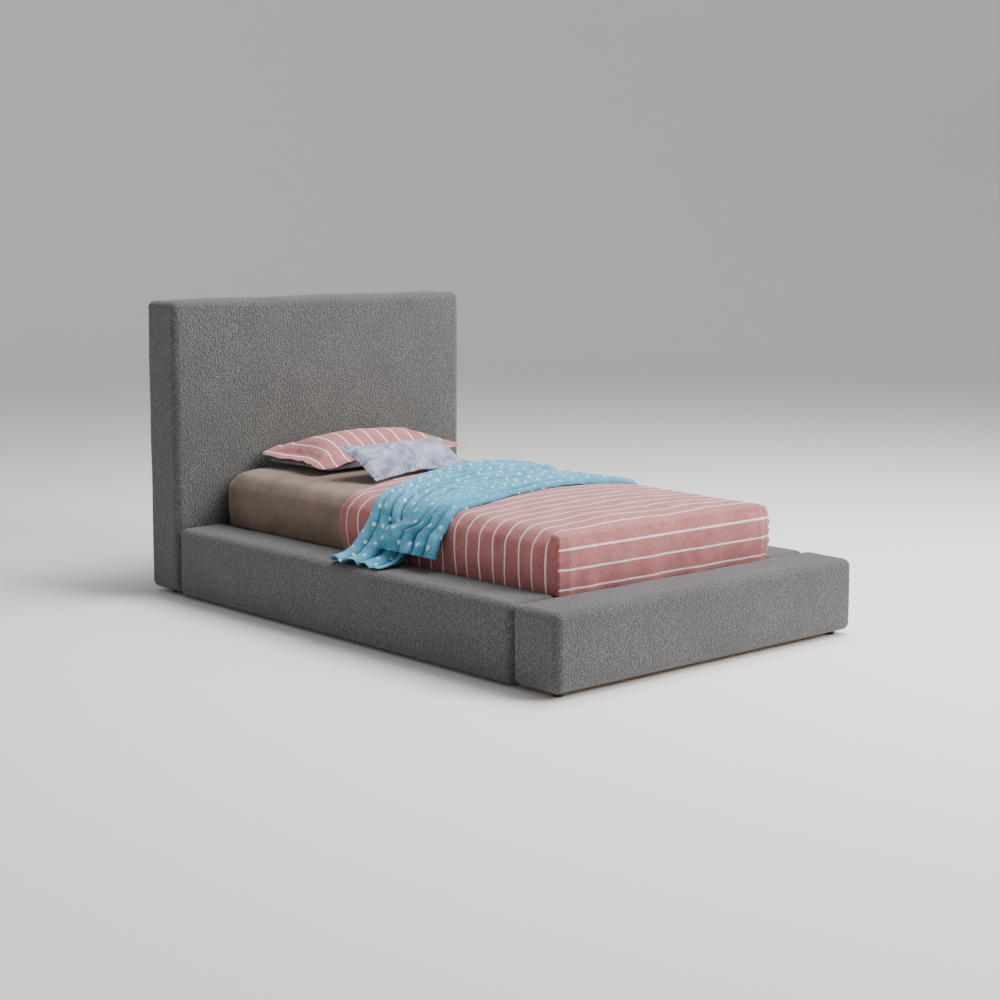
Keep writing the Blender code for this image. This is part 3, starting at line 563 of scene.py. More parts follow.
def add_quilt():
    """The lattice box, sheared so that its head edge slants, with four lifts added along its normals."""
    low = np.array([-HALF[0] - QUILT_OVERHANG, QUILT_LOW[1] + 2.5 * MM, QUILT_LOW[2] - HEM_DROP])
    high = np.array([HALF[0] + QUILT_OVERHANG, QUILT_HEAD, QUILT_TOP])
    bottom_and_head = {(2, 0), (1, 1)}
    points, normal, sides, sharp = box_lattice(low, high, QUILT_EDGE, 9 * MM, 8, open_sides=bottom_and_head)
    reach = (points[:, 1] - low[1]) / (high[1] - low[1])
    points[:, 1] += reach * points[:, 0] * QUILT_SLANT
    along = (sharp[:, 1] - low[1]) / (high[1] - low[1])
    sharp[:, 1] += along * np.clip(sharp[:, 0], low[0], high[0]) * QUILT_SLANT

    wall = 1 - ease(np.abs(normal[:, 2]), 0.3, 0.9)
    drop = np.clip((QUILT_TOP - points[:, 2]) / (QUILT_TOP - low[2]), 0, 1)
    puff = 2.2 * MM * waves(points, 0.26, 41) + 1.0 * MM * waves(points, 0.09, 42)
    sway = points[:, 1] * 2 * np.pi / 0.17 + 2.5 * waves(points[:, :1], 0.6, 43)
    hang = wall * drop * (4 * MM * np.sin(sway) + 3 * MM * waves(points * (1, 1, 0.3), 0.10, 44))

    # The foot panel is sewn in, so the foot's edges are squarer than the sides'.
    square = 0.62 * ease(-normal[:, 1], 0, 0.3)
    points = points + square[:, None] * (sharp - points)
    seam = quilt_seam(points, sharp, low, high, along * sharp[:, 0] * QUILT_SLANT, drop)

    bulge = wall * np.sin(np.pi * np.clip(drop, 0, 1))
    lift = 1.5 * MM + puff + hang + seam + QUILT_BULGE * bulge * ease(-normal[:, 2] + 1, 0, 0.5)
    to_head = high[1] + points[:, 0] * QUILT_SLANT - points[:, 1]
    points[:, 1] += HEAD_EDGE_BULGE * bulge * (1 - ease(to_head, 0, 0.30))
    close = ease(high[1] + points[:, 0] * QUILT_SLANT - points[:, 1], 0, 0.05)
    points = domed(points + normal * (lift * (0.3 + 0.7 * close) - 2 * MM * (1 - close))[:, None])
    cloth = box_cloth(sharp, sides, low, high, PATTERN_SHIFT)
    piece = new_piece("striped_quilt", points, lattice_faces(sides), cloth)
    thicken(piece, QUILT_CLOTH)
    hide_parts("quilt")
    return piece


quilt = add_quilt()

# %% [markdown]
# ## Throw
# The throw is a fleece blanket laid across the bed and gathered by hand, so its folds run along its
# length and fan out where it is wider. On the near side its head half reaches the ledge and spreads
# there, and its foot half hangs over that in a second layer. The folds are drawn and not simulated: a
# line across the bed is swept, and half-round folds and one overlap are added to it.

# %% Throw path
THROW_CLOTH = 3.5 * MM
THROW_ROWS = 200
THROW_COLUMNS = 236
SHOULDER = HALF[0] + 13 * MM
TURN = 66 * MM
THROW_LIE = LEDGE + 4 * MM
# The near end of the path, in X and in Z above the ledge: spread out, tucked under, and hanging clear.
SPREAD_END = [
    (-0.722, 0.0), (-0.700, 0.0), (-0.672, 0.0), (-0.642, 0.004),
    (-0.612, 0.018), (-0.586, 0.045), (-0.563, 0.080), (-0.545, 0.115),
]
TUCKED_END = [
    (-0.700, 0.0), (-0.672, 0.0), (-0.642, 0.0), (-0.612, 0.001),
    (-0.580, 0.005), (-0.554, 0.022), (-0.538, 0.055), (-0.531, 0.105),
]
HANGING_END = [(-SHOULDER - 0.046, 0.038), (-SHOULDER - 0.044, 0.061), (-SHOULDER - 0.036, 0.091)]


def throw_path(near_end):
    """A smooth line in X and Z: near hem, up the near side, over the top and down the far side.

    Returned at even steps of its own length, but closer together on the near side, with the length so far.
    """
    angle = np.linspace(0, np.pi / 2, 8)
    top = MATTRESS_TOP + 15 * MM
    near = np.array(near_end) + (0, THROW_LIE)
    left = np.stack([-SHOULDER + TURN - TURN * np.cos(angle), top - TURN + TURN * np.sin(angle)], axis=1)
    x = np.linspace(-SHOULDER + TURN, SHOULDER - TURN, 24)[1:-1]
    flat = np.stack([x, 0 * x + top], axis=1)
    right = np.stack([SHOULDER - TURN + TURN * np.sin(angle), top - TURN + TURN * np.cos(angle)], axis=1)
    far = np.array([[SHOULDER, top - TURN - 0.03], [SHOULDER, top - TURN - 0.06]])
    line = np.concatenate([near, left, flat, right, far])
    for _ in range(3):
        line[1:-1] = 0.25 * line[:-2] + 0.5 * line[1:-1] + 0.25 * line[2:]
    length = np.concatenate([[0], np.cumsum(np.linalg.norm(np.diff(line, axis=0), axis=1))])
    # A third of the rows lie between the near hem and the mattress's shoulder, where the cloth bends most.
    shoulder = length[len(near)] + 0.02
    so_far = np.interp(np.linspace(0, 1, THROW_ROWS), [0, 0.32, 1], [0, shoulder, length[-1]])
    return np.stack([np.interp(so_far, length, line[:, k]) for k in (0, 1)], axis=1), so_far


def throw_ground(t):
    """Each column's path in X and Z before it is folded, and the distance along the cloth.

    A column is a mix of the three paths: it spreads out on the ledge near the head edge (t = 0), is tucked
    under in the middle, and hangs clear of both near the foot edge (t = 1).
    """
    spread_out, length = throw_path(SPREAD_END)
    tucked, _ = throw_path(TUCKED_END)
    hanging, hanging_length = throw_path(HANGING_END)
    hang = ease(t, 0.42, 0.49)
    under = ease(t, 0.13, 0.30)[..., None]
    lying = spread_out[:, None, :] * (1 - under) + tucked[:, None, :] * under
    path = lying * (1 - hang[..., None]) + hanging[:, None, :] * hang[..., None]
    shift = length[-1] - hanging_length[-1]
    return path, length[:, None] * (1 - hang) + (hanging_length[:, None] + shift) * hang


# %% Throw folds
# Where each fold ends, as a share of the width from the head edge, and how high each one stands.
FOLD_EDGES = np.array([0.0, 0.12, 0.24, 0.35, 0.45, 0.56, 0.74, 0.83, 0.92, 1.0])
FOLD_HEIGHTS = np.array([26, 29, 27, 20, 16, 20, 26, 25, 22]) * MM
# The two long edges: where they are in Y, at these places in X.
EDGE_X = [-0.75, -0.62, -0.53, -0.40, -0.22, 0.0, 0.25, 0.50, 0.56]
HEAD_EDGE_Y = [-0.015, 0.0, 0.0, 0.055, 0.155, 0.255, 0.345, 0.340, 0.31]
FOOT_EDGE_Y = [-0.44, -0.437, -0.425, -0.412, -0.378, -0.33, -0.31, -0.345, -0.35]
# The overlap at the near hem: where each share of the cloth's width lies, as a share of the throw's.
CLOTH_SHARE, LYING_SHARE = [0, 0.46, 0.56, 1], [0, 0.62, 0.27, 1.0]


def throw_folds(s, t):
    """Half-round folds with narrow valleys: each point's way across, its lift, and how near a crest it is.

    u goes from 0 to 1 across one fold. A fold that is turned through an angle, pi times u, stands sin(pi u)
    high, and is (1 - cos(pi u)) / 2 of its way across.
    """
    place = np.stack([s + 0 * t, t + 0 * s], axis=-1)
    wander = 0.030 * waves(place * (2.2, 1.2), 1.0, 51) + 0.012 * waves(place * (6.0, 3.0), 1.0, 52)
    count = np.interp(t + 4 * t * (1 - t) * wander, FOLD_EDGES, np.arange(len(FOLD_EDGES)))
    fold = np.clip(count.astype(int), 0, len(FOLD_HEIGHTS) - 1)
    u = count - fold
    turned = t + 0.9 * np.diff(FOLD_EDGES)[fold] * ((1 - np.cos(np.pi * u)) / 2 - u)
    strength = np.clip(0.92 + 0.25 * waves(place * (2.5, 5.0), 1.0, 54), 0.55, 1.2)
    small = 1.6 * MM * (1 + waves(place * (9.0, 16.0), 1.0, 53))

    # The overlap: the middle doubles back under the hanging half, most at the hem and not at all on top.
    low_down = 1 - ease(s, 0.20, 0.42)
    across = turned * (1 - low_down) + np.interp(turned, CLOTH_SHARE, LYING_SHARE) * low_down
    layer = low_down * (ease(t, 0.44, 0.50) + ease(t, 0.50, 0.57)) * 9 * MM
    rim = ease(t, 0, 0.03) * (1 - ease(t, 0.97, 1))
    pressed = 1 - 0.75 * low_down * ease(t, 0.24, 0.34) * (1 - ease(t, 0.54, 0.60))
    stand = FOLD_HEIGHTS[fold] * np.sin(np.pi * u) * strength * pressed * (0.25 + 0.75 * rim)
    return across, layer + stand + small, np.sin(np.pi * u) * np.clip(strength, 0, 1)


# %% Throw
def add_throw():
    """Lays a grid of rows (s, along the throw) and columns (t, across it), and lifts it square to its path."""
    t = np.linspace(0, 1, THROW_COLUMNS)[None, :]
    s = np.linspace(0, 1, THROW_ROWS)[:, None]
    path, along = throw_ground(t)
    across, lift, crest = throw_folds(s, t)
    head, foot = np.interp(path[..., 0], EDGE_X, HEAD_EDGE_Y), np.interp(path[..., 0], EDGE_X, FOOT_EDGE_Y)
    step = np.gradient(path, axis=0)
    outward = np.stack([-step[..., 1], step[..., 0]], axis=-1)
    outward /= np.linalg.norm(outward, axis=-1, keepdims=True)
    lifted = path + outward * lift[..., None]
    grid = np.stack([lifted[..., 0], head + (foot - head) * across, lifted[..., 1]], axis=-1)
    points = domed(grid.reshape(-1, 3))
    grid = points.reshape(grid.shape)
    width = np.cumsum(np.linalg.norm(np.diff(grid, axis=1, prepend=grid[:, :1]), axis=2), axis=1)
    cloth = np.stack([along, np.broadcast_to(width.mean(axis=0), width.shape)], axis=-1).reshape(-1, 2)
    index = np.arange(len(points)).reshape(THROW_ROWS, THROW_COLUMNS)
    piece = new_piece("fleece_throw", points, grid_faces(index), cloth)
    # How near a fold's crest each point is, read by the fleece material for its painted shade in the valleys.
    attribute = piece.data.attributes.new("fold_crest_for_painted_shade", "FLOAT", "POINT")
    attribute.data.foreach_set("value", crest.astype(np.float32).ravel())
    thicken(piece, THROW_CLOTH)
    smooth = piece.modifiers.new("smooth", "SMOOTH")
    smooth.factor = 0.5
    smooth.iterations = 2
    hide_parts("throw")
    print("throw: length", round(float(along[-1, 0]), 3), "width", width[::40, -1].round(2))
    return piece


throw = add_throw()

# %% [markdown]
# ## Pillows
# A pillow starts as two flat pieces of cloth sewn together round the edge, so that is how these are made:
# a flat bag is blown up by a short cloth simulation, which gives it its fullness and draws its sides in
# between the corners. Only part of that drawing in is kept, and the puckers along the seam are added
# afterwards as short waves. The pillow is then laid in place and pressed onto what it rests on.

# %% Blow up a bag
BAG_STEP = 11 * MM
SIM_FRAMES = 18


def full(u, v):
    """A pillow's fullness where no simulation is run: √((1 - |u|³)(1 - |v|³))."""
    return np.sqrt(np.clip(1 - np.abs(u) ** 3, 0, 1) * np.clip(1 - np.abs(v) ** 3, 0, 1))


def simulate(piece, pressure):
    """Inflates a closed cloth with no gravity for a fixed number of frames, and returns its points."""
    cloth = piece.modifiers.new("cloth", "CLOTH")
    settings = cloth.settings
    settings.quality = 6
    settings.mass = 0.25
    settings.tension_stiffness = settings.compression_stiffness = 18
    settings.shear_stiffness = 8
    settings.bending_stiffness = 0.12
    settings.use_pressure = True
    settings.uniform_pressure_force = pressure
    settings.effector_weights.gravity = 0.0
    scene = bpy.context.scene
    for frame_number in range(1, SIM_FRAMES + 1):
        scene.frame_set(frame_number)
    result = piece.evaluated_get(bpy.context.evaluated_depsgraph_get()).data
    blown = np.empty(len(result.vertices) * 3, np.float32)
    result.vertices.foreach_get("co", blown)
    scene.frame_set(1)
    return blown.reshape(-1, 3).astype(float)


def blown_bag(length, width, above, below, pressure, draw=0.35):
    """The upper and lower layer of a pillow, as two grids of points that share their rim.

    The layers are then given their height above and below the seam, because what a pillow rests on flattens
    it. draw is the share of the sides' drawing in that is kept, because filling in the corners holds them out.
    """
    rows, columns = round(length / BAG_STEP), round(width / BAG_STEP)
    u, v = np.meshgrid(np.linspace(-1, 1, rows + 1), np.linspace(-1, 1, columns + 1), indexing="ij")
    upper = np.arange(u.size).reshape(u.shape)
    inside = np.zeros(u.shape, bool)
    inside[1:-1, 1:-1] = True
    lower = upper.copy()
    lower[inside] = u.size + np.arange(inside.sum())
    flat = np.stack([u * length / 2, v * width / 2, 2 * MM * inside], axis=-1)
    points = np.concatenate([flat.reshape(-1, 3), (flat * (1, 1, -1))[inside]])
    helper = new_piece("bag_helper", points, [*grid_faces(upper), *grid_faces(lower, flip=True)])
    points = simulate(helper, pressure)
    bpy.data.objects.remove(helper)
    start = np.concatenate([flat.reshape(-1, 3), flat[inside]])
    points[:, :2] = start[:, :2] + draw * (points[:, :2] - start[:, :2])
    points[:, 2] *= np.where(points[:, 2] > 0, above / points[:, 2].max(), below / -points[:, 2].min())
    print("bag", (np.ptp(points, axis=0) * 1000).round(), "mm")
    return points[upper], points[lower], flat


# %% Sew and lay a pillow
SEAM = 1.2 * MM


def ring_of(grid):
    """The points round a grid's rim, in order."""
    return np.concatenate([grid[:-1, 0], grid[-1, :-1], grid[:0:-1, -1], grid[0, :0:-1]])


def sewn(upper, lower, flat, flange=0.0, strips=5):
    """Joins two layers by a thin seam, with a flat flange round it if it has one.

    Returns points, faces and where each point lies on its cloth. The flange's strips step outwards from the
    rim, and its corners are cut square.
    """
    rows, columns = flat.shape[:2]
    count = rows * columns
    number = np.arange(count).reshape(rows, columns)
    points = [(upper + (0, 0, SEAM)).reshape(-1, 3), (lower - (0, 0, SEAM)).reshape(-1, 3)]
    cloth = [flat[..., :2].reshape(-1, 2)] * 2
    faces = [grid_faces(number), grid_faces(number + count, flip=True)]
    rim, rim_cloth = ring_of(upper), ring_of(flat)[:, :2]
    ring = ring_of(number)
    if flange:
        half = np.abs(rim_cloth).max(axis=0)
        out = np.where(np.abs(rim_cloth) > half - 1e-6, np.sign(rim_cloth), 0)
        turn = np.cumsum(np.linalg.norm(np.roll(rim_cloth, 1, axis=0) - rim_cloth, axis=1))
        loops = {1: [ring], -1: [ring + count]}
        for k in range(1, strips + 1):
            reach = flange * k / strips
            # The sewn rim draws in between the corners, and the flange's own edge draws in less.
            place = rim.copy()
            place[:, :2] += out * reach + (rim_cloth - rim[:, :2]) * 0.35 * k / strips
            flutter = np.sin(turn * 2 * np.pi / 0.085 + 2 * waves(rim_cloth, 0.3, 62))
            place[:, 2] += 2.5 * MM * (k / strips) ** 1.5 * flutter
            for side in (1, -1):
                if k == strips and side == -1:
                    loops[side].append(loops[1][-1])
                    continue
                start = sum(len(group) for group in points)
                points.append(place + (0, 0, side * SEAM * (1 - k / strips)))
                cloth.append(rim_cloth + out * reach)
                loops[side].append(start + np.arange(len(ring)))
        for side in (1, -1):
            index = np.array(loops[side])
            index = np.concatenate([index, index[:, :1]], axis=1)
            faces.append(grid_faces(index, flip=side == -1))
    else:
        index = np.array([ring, ring + count])
        index = np.concatenate([index, index[:, :1]], axis=1)
        faces.append(grid_faces(index))
    return np.concatenate(points), np.concatenate(faces), np.concatenate(cloth)


def turned(points, tilt, heading):
    """Points turned about X by tilt, then about Z by heading."""
    c, s = math.cos(tilt), math.sin(tilt)
    points = points @ np.array([[1, 0, 0], [0, c, s], [0, -s, c]])
    c, s = math.cos(heading), math.sin(heading)
    return points @ np.array([[c, s, 0], [-s, c, 0], [0, 0, 1]])


def lay(name, cad_node, points, faces, cloth, support):
    """Presses what is too low up onto its support, and makes the piece."""
    points[:, 2] = np.maximum(points[:, 2], support(points[:, 0], points[:, 1]))
    piece = new_piece(name, points, faces, cloth, recalculate=True)
    finer = piece.modifiers.new("finer", "SUBSURF")
    finer.levels = finer.render_levels = 1
    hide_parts(cad_node)
    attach(piece, "bed")
    return piece


def crease(points, cloth, length, width, size, seed):
    """Short puckers that start at the seam and fade out within about 30 mm, and slow lumps of filling."""
    to_end, to_side = length / 2 - np.abs(cloth[:, 0]), width / 2 - np.abs(cloth[:, 1])
    edge = np.minimum(to_end, to_side)
    along = np.where(to_end < to_side, cloth[:, 1], cloth[:, 0])
    fade = np.exp(-np.clip(edge, 0, None) / 0.030) * ease(edge, 0, 0.008)
    ripple = np.sin(along * 2 * np.pi / 0.024 + 2.5 * waves(cloth, 0.10, seed))
    lumps = waves(cloth, 0.16, seed + 1) * ease(edge, 0, 0.06)
    return np.sign(points[:, 2]) * size * (fade * ripple + 1.2 * lumps)


# %% [markdown]
# ## The three pillows
# A plain pillow lies flat against the headboard. A striped sham lies on it: a pillow with a flat flange
# stitched round it, whose front corners droop over the pillow below. A small velvet cushion slopes up
# from the quilt's head edge in front of them.


# %% Place the pillows
def middle_of(cad_node):
    low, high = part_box(cad_node)
    return (np.array(low) + np.array(high)) / 2


def on_sheet(x, y):
    return MATTRESS_TOP + dome(x, y) + 4 * MM


PLAIN_SIZE = (0.662, 0.410)
PLAIN_RISE = 26 * MM
PLAIN_DROP = 19 * MM


def on_plain_pillow(x, y):
    """The height of the plain pillow's top, and of the sheet beside it."""
    middle_x, middle_y, _ = middle_of("under_pillow")
    u, v = 2 * (x - middle_x) / PLAIN_SIZE[0], 2 * (y - middle_y) / PLAIN_SIZE[1]
    top = on_sheet(middle_x, middle_y) + 22 * MM + (PLAIN_RISE + 1 * MM) * full(u, v) ** 0.6
    return np.where((np.abs(u) < 1) & (np.abs(v) < 1), top, on_sheet(x, y))


def add_plain_pillow():
    length, width = PLAIN_SIZE
    upper, lower, flat = blown_bag(length, width, PLAIN_RISE, PLAIN_DROP, 3.0)
    # Squashed from above, it is as full near its seam as in the middle.
    upper[..., 2] = PLAIN_RISE * np.clip(upper[..., 2] / PLAIN_RISE, 0, 1) ** 0.6
    lower[..., 2] = -PLAIN_DROP * np.clip(-lower[..., 2] / PLAIN_DROP, 0, 1) ** 0.6
    points, faces, cloth = sewn(upper, lower, flat)
    points[:, 2] += crease(points, cloth, length, width, 1.6 * MM, 71)
    x, y, _ = middle_of("under_pillow")
    points += (x, y, on_sheet(x, y) + PLAIN_DROP)
    return lay("plain_pillow", "under_pillow", points, faces, cloth, on_sheet)


SHAM_SIZE = (0.775, 0.432)
SHAM_FLANGE = 41 * MM
SHAM_SEAM = 0.5635


def add_sham():
    length, width = (side - 2 * SHAM_FLANGE for side in SHAM_SIZE)
    upper, lower, flat = blown_bag(length, width, 62 * MM, 10 * MM, 5.0)
    points, faces, cloth = sewn(upper, lower, flat, SHAM_FLANGE)
    points[:, 2] += crease(points, cloth, length, width, 2.2 * MM, 73)
    # The flange's front corners hang down, further the nearer they are to the tip.
    u, v = np.abs(cloth[:, 0]) / (length / 2), -cloth[:, 1] / (width / 2)
    outside = np.clip(np.maximum(u, v) - 0.93, 0, 1)
    near_end = ease(-cloth[:, 0] / (length / 2), 0.3, 1.0)
    corner = near_end * ease(v, 0.1, 1.0)
    points[:, 2] -= corner * outside * 0.02 + near_end * outside * 0.10
    points[:, 2] -= 20 * MM * ease(-cloth[:, 0] / (length / 2), 0.45, 1.1) * (1 - 0.75 * ease(v, -0.6, 0.8))
    points = turned(points, math.radians(4), 0)
    points += middle_of("flanged_pillow") * (1, 1, 0) + (-0.015, 0, SHAM_SEAM)
    return lay("striped_sham", "flanged_pillow", points, faces, cloth, on_plain_pillow)


VELVET_SIZE = (0.566, 0.232)


def add_velvet_cushion():
    length, width = VELVET_SIZE
    upper, lower, flat = blown_bag(length, width, 60 * MM, 10 * MM, 5.0)
    points, faces, cloth = sewn(upper, lower, flat)
    points[:, 2] += crease(points, cloth, length, width, 5.5 * MM, 75)
    # Its lower edge rests on the quilt's head edge, and droops a little at both ends.
    points[:, 2] -= 7 * MM * (cloth[:, 0] / (length / 2)) ** 2 * ease(-cloth[:, 1] / width, -0.1, 0.5)
    points = turned(points + (0, width / 2, 0), math.radians(29), math.radians(9.5))
    points[:, 2] -= 5 * MM * (1 + points[:, 0] / (length / 2))
    points += (-0.032, HEADBOARD[0].y - 0.686, QUILT_TOP + CROWN + 6 * MM)

    def on_quilt(x, y):
        return QUILT_TOP + dome(x, y) + 4 * MM + 0 * y

    return lay("velvet_cushion_cover", "velvet_cushion", points, faces, cloth, on_quilt)


plain_pillow = add_plain_pillow()
sham = add_sham()
velvet_cushion = add_velvet_cushion()

# %% [markdown]
# ## Bedding fabrics
# Each fabric is a thread or pile pattern of a real size, plus the way that cloth takes light. The
# patterns follow the cloth and not the room, so they read the piece's own "cloth" map, in metres along
# and across the cut cloth.


# %% Pattern helpers
def cloth_place(tree, scale=1.0):
    """The cloth map's two distances, in units of 1 / scale metres, as a vector."""
    flat = node(tree, "ShaderNodeUVMap", uv_map="cloth").outputs[0]
    return node(tree, "ShaderNodeVectorMath", {0: flat, "Scale": scale}, operation="SCALE").outputs[0]


def math_node(tree, operation, *values):
    """One step of arithmetic on numbers or sockets."""
    return node(tree, "ShaderNodeMath", dict(enumerate(values)), operation=operation).outputs[0]


def weighted(tree, first, second):
    """The sum of two sockets, each given with its weight."""
    return math_node(tree, "ADD", *(math_node(tree, "MULTIPLY", *pair) for pair in (first, second)))


def squeezed(tree, place, factors):
    """A place with each axis multiplied by its factor, so that a pattern is drawn out along a small one."""
    return node(tree, "ShaderNodeVectorMath", {0: place, 1: factors}, operation="MULTIPLY").outputs[0]


def lumps(tree, place, spacing, detail=2.0, roughness=0.5):
    """Noise whose lumps are about spacing metres across, where place is in metres."""
    settings = {"Vector": place, "Scale": 1 / spacing, "Detail": detail, "Roughness": roughness}
    return node(tree, "ShaderNodeTexNoise", settings).outputs["Fac"]


def two_tone(tree, amount, dark, light, low=0.3, high=0.7):
    """A colour between dark and light, as amount goes from low to high."""
    ramp = node(tree, "ShaderNodeValToRGB", {"Fac": amount})
    for element, place, colour in zip(ramp.color_ramp.elements, (low, high), (dark, light)):
        element.position = place
        element.color = linear(colour)
    return ramp.outputs[0]


def blend_colour(tree, amount, first, second):
    """Mixes two colours by amount."""
    made = node(tree, "ShaderNodeMix", {"Factor": amount}, data_type="RGBA")
    for socket, value in ((made.inputs[6], first), (made.inputs[7], second)):
        if isinstance(value, bpy.types.NodeSocket):
            tree.links.new(value, socket)
        else:
            socket.default_value = value
    return made.outputs[2]


def weave(tree, place, thread):
    """A plain weave: sin × sin of the two thread directions, one wave for each pair of threads."""
    parts = node(tree, "ShaderNodeSeparateXYZ", {0: place})
    rate = math.pi / thread
    over = math_node(tree, "SINE", math_node(tree, "MULTIPLY", parts.outputs[0], rate))
    under = math_node(tree, "SINE", math_node(tree, "MULTIPLY", parts.outputs[1], rate))
    return math_node(tree, "MULTIPLY", over, under)


def bump(tree, shader, height, distance, strength=1.0):
    raised = node(tree, "ShaderNodeBump", {"Height": height, "Distance": distance, "Strength": strength})
    tree.links.new(raised.outputs[0], shader.inputs["Normal"])


def stripes(tree, distance, spacing, width, soft):
    """1 on lines of that width and spacing across a distance, 0 between them, with a soft edge."""
    turn = math_node(tree, "FRACT", math_node(tree, "DIVIDE", distance, spacing))
    off_line = math_node(tree, "ABSOLUTE", math_node(tree, "SUBTRACT", turn, 0.5))
    away = math_node(tree, "MULTIPLY", off_line, spacing)
    ramp = {"Value": away, "From Min": width / 2 + soft, "From Max": width / 2 - soft}
    return node(tree, "ShaderNodeMapRange", ramp).outputs[0]


# %% Cottons
THREAD = 0.9 * MM  # real percale has about 0.25 mm, which is too fine to show


def plain_cotton(name, dark, light, crumple=2.2 * MM):
    """Percale: matt, slightly fuzzy, with slow shading where it has been washed and creased."""
    material, tree, shader = new_material(name, light, 0.86, IOR=1.5, Sheen_Weight=0.15, Sheen_Roughness=0.5)
    place = cloth_place(tree)
    wear = lumps(tree, place, 0.12, 4.0, 0.6)
    tree.links.new(two_tone(tree, wear, dark, light), shader.inputs["Base Color"])
    folds = lumps(tree, place, 0.045, 3.0, 0.45)
    height = math_node(tree, "ADD", math_node(tree, "MULTIPLY", weave(tree, place, THREAD), 0.05), folds)
    bump(tree, shader, height, crumple)
    return material


def striped_cotton(name, dark, light, line, along):
    """Yarn-dyed slub cotton. White lines run along or across the cloth, and its threads vary in thickness."""
    material, tree, shader = new_material(name, light, 0.88, IOR=1.5, Sheen_Weight=0.2, Sheen_Roughness=0.5)
    place = cloth_place(tree)
    parts = node(tree, "ShaderNodeSeparateXYZ", {0: place})
    slub = 0.0
    for squeeze in ((1.0, 0.12, 1.0), (0.12, 1.0, 1.0)):
        thread = lumps(tree, squeezed(tree, place, squeeze), 2.5 * MM, 1.0, 0.4)
        slub = math_node(tree, "ADD", slub, thread)
    wear = lumps(tree, place, 0.10, 4.0, 0.6)
    mixed = weighted(tree, (slub, 0.30), (wear, 0.4))
    ground = two_tone(tree, mixed, dark, light, 0.38, 0.62)
    mark = stripes(tree, parts.outputs[0 if along else 1], STRIPE_SPACING, STRIPE_WIDTH, 0.6 * MM)
    tree.links.new(blend_colour(tree, mark, ground, linear(line)), shader.inputs["Base Color"])
    folds = lumps(tree, place, 0.05, 3.0, 0.5)
    height = math_node(tree, "ADD", math_node(tree, "MULTIPLY", slub, 0.10), folds)
    height = math_node(tree, "ADD", height, math_node(tree, "MULTIPLY", mark, 0.10))
    bump(tree, shader, height, 3.0 * MM)
    return material


for piece, material in (
    (sheet, plain_cotton("tan_percale", "6E5B4E", "8B7768", 1.6 * MM)),
    (quilt, striped_cotton("rose_slub_cotton", "985556", "B87574", "E9DCDC", along=False)),
    (sham, striped_cotton("rose_slub_cotton_sham", "985556", "B87574", "E9DCDC", along=True)),
    (plain_pillow, plain_cotton("grey_violet_percale", "A29CA8", "BAB4C0")),
):
    paint(piece, material)

# %% Fleece
DOT_SPACING = 52 * MM
DOT_SIZE = 15 * MM


def fleece():
    """Coral fleece with printed dots, and painted shade that darkens the valleys between the throw's folds."""
    material, tree, shader = new_material(
        "blue_coral_fleece", "4E9CC0", 0.95, IOR=1.5, Sheen_Weight=0.35, Sheen_Roughness=0.5
    )
    shader.inputs["Sheen Tint"].default_value = linear("A9D6EC")
    place = cloth_place(tree)
    pile = lumps(tree, place, 4.5 * MM, 3.0, 0.7)
    stroke = lumps(tree, place, 0.05, 3.0, 0.55)
    mixed = weighted(tree, (pile, 0.65), (stroke, 0.35))
    ground = two_tone(tree, mixed, "2A7899", "66AFCB", 0.38, 0.62)
    # Painted shade: where the crest value is low, in the valleys between the folds, the colour is mixed
    # towards deep blue 12536E; towards each crest the plain ground shows.
    crest = node(tree, "ShaderNodeAttribute", attribute_name="fold_crest_for_painted_shade").outputs["Fac"]
    opened = node(tree, "ShaderNodeMapRange", {"Value": crest, "From Min": 0.05, "From Max": 0.75}).outputs[0]
    ground = blend_colour(tree, opened, linear("12536E"), ground)
    stir = node(tree, "ShaderNodeTexNoise", {"Vector": place, "Scale": 160.0, "Detail": 1.0}).outputs["Color"]
    ragged = node(tree, "ShaderNodeVectorMath", {0: stir, "Scale": 3.0 * MM}, operation="SCALE").outputs[0]
    moved = node(tree, "ShaderNodeVectorMath", {0: place, 1: ragged}, operation="ADD").outputs[0]
    tipped = node(tree, "ShaderNodeMapping", {"Vector": moved, "Rotation": (0, 0, math.pi / 4)}).outputs[0]
    dots = node(
        tree,
        "ShaderNodeTexVoronoi",
        {"Vector": tipped, "Scale": 1 / DOT_SPACING, "Randomness": 0.12},
        voronoi_dimensions="2D",
    ).outputs["Distance"]
    reach = DOT_SIZE / 2 / DOT_SPACING
    mark = node(
        tree, "ShaderNodeMapRange", {"Value": dots, "From Min": reach * 1.2, "From Max": reach * 0.75}
    ).outputs[0]
    tree.links.new(blend_colour(tree, mark, ground, linear("BCD8E2")), shader.inputs["Base Color"])
    bump(tree, shader, mixed, 3.0 * MM, 0.8)
    return material


paint(throw, fleece())

# %% Velvet
PUCKER_SPACING = 19 * MM
PUCKER_REACH = 22 * MM


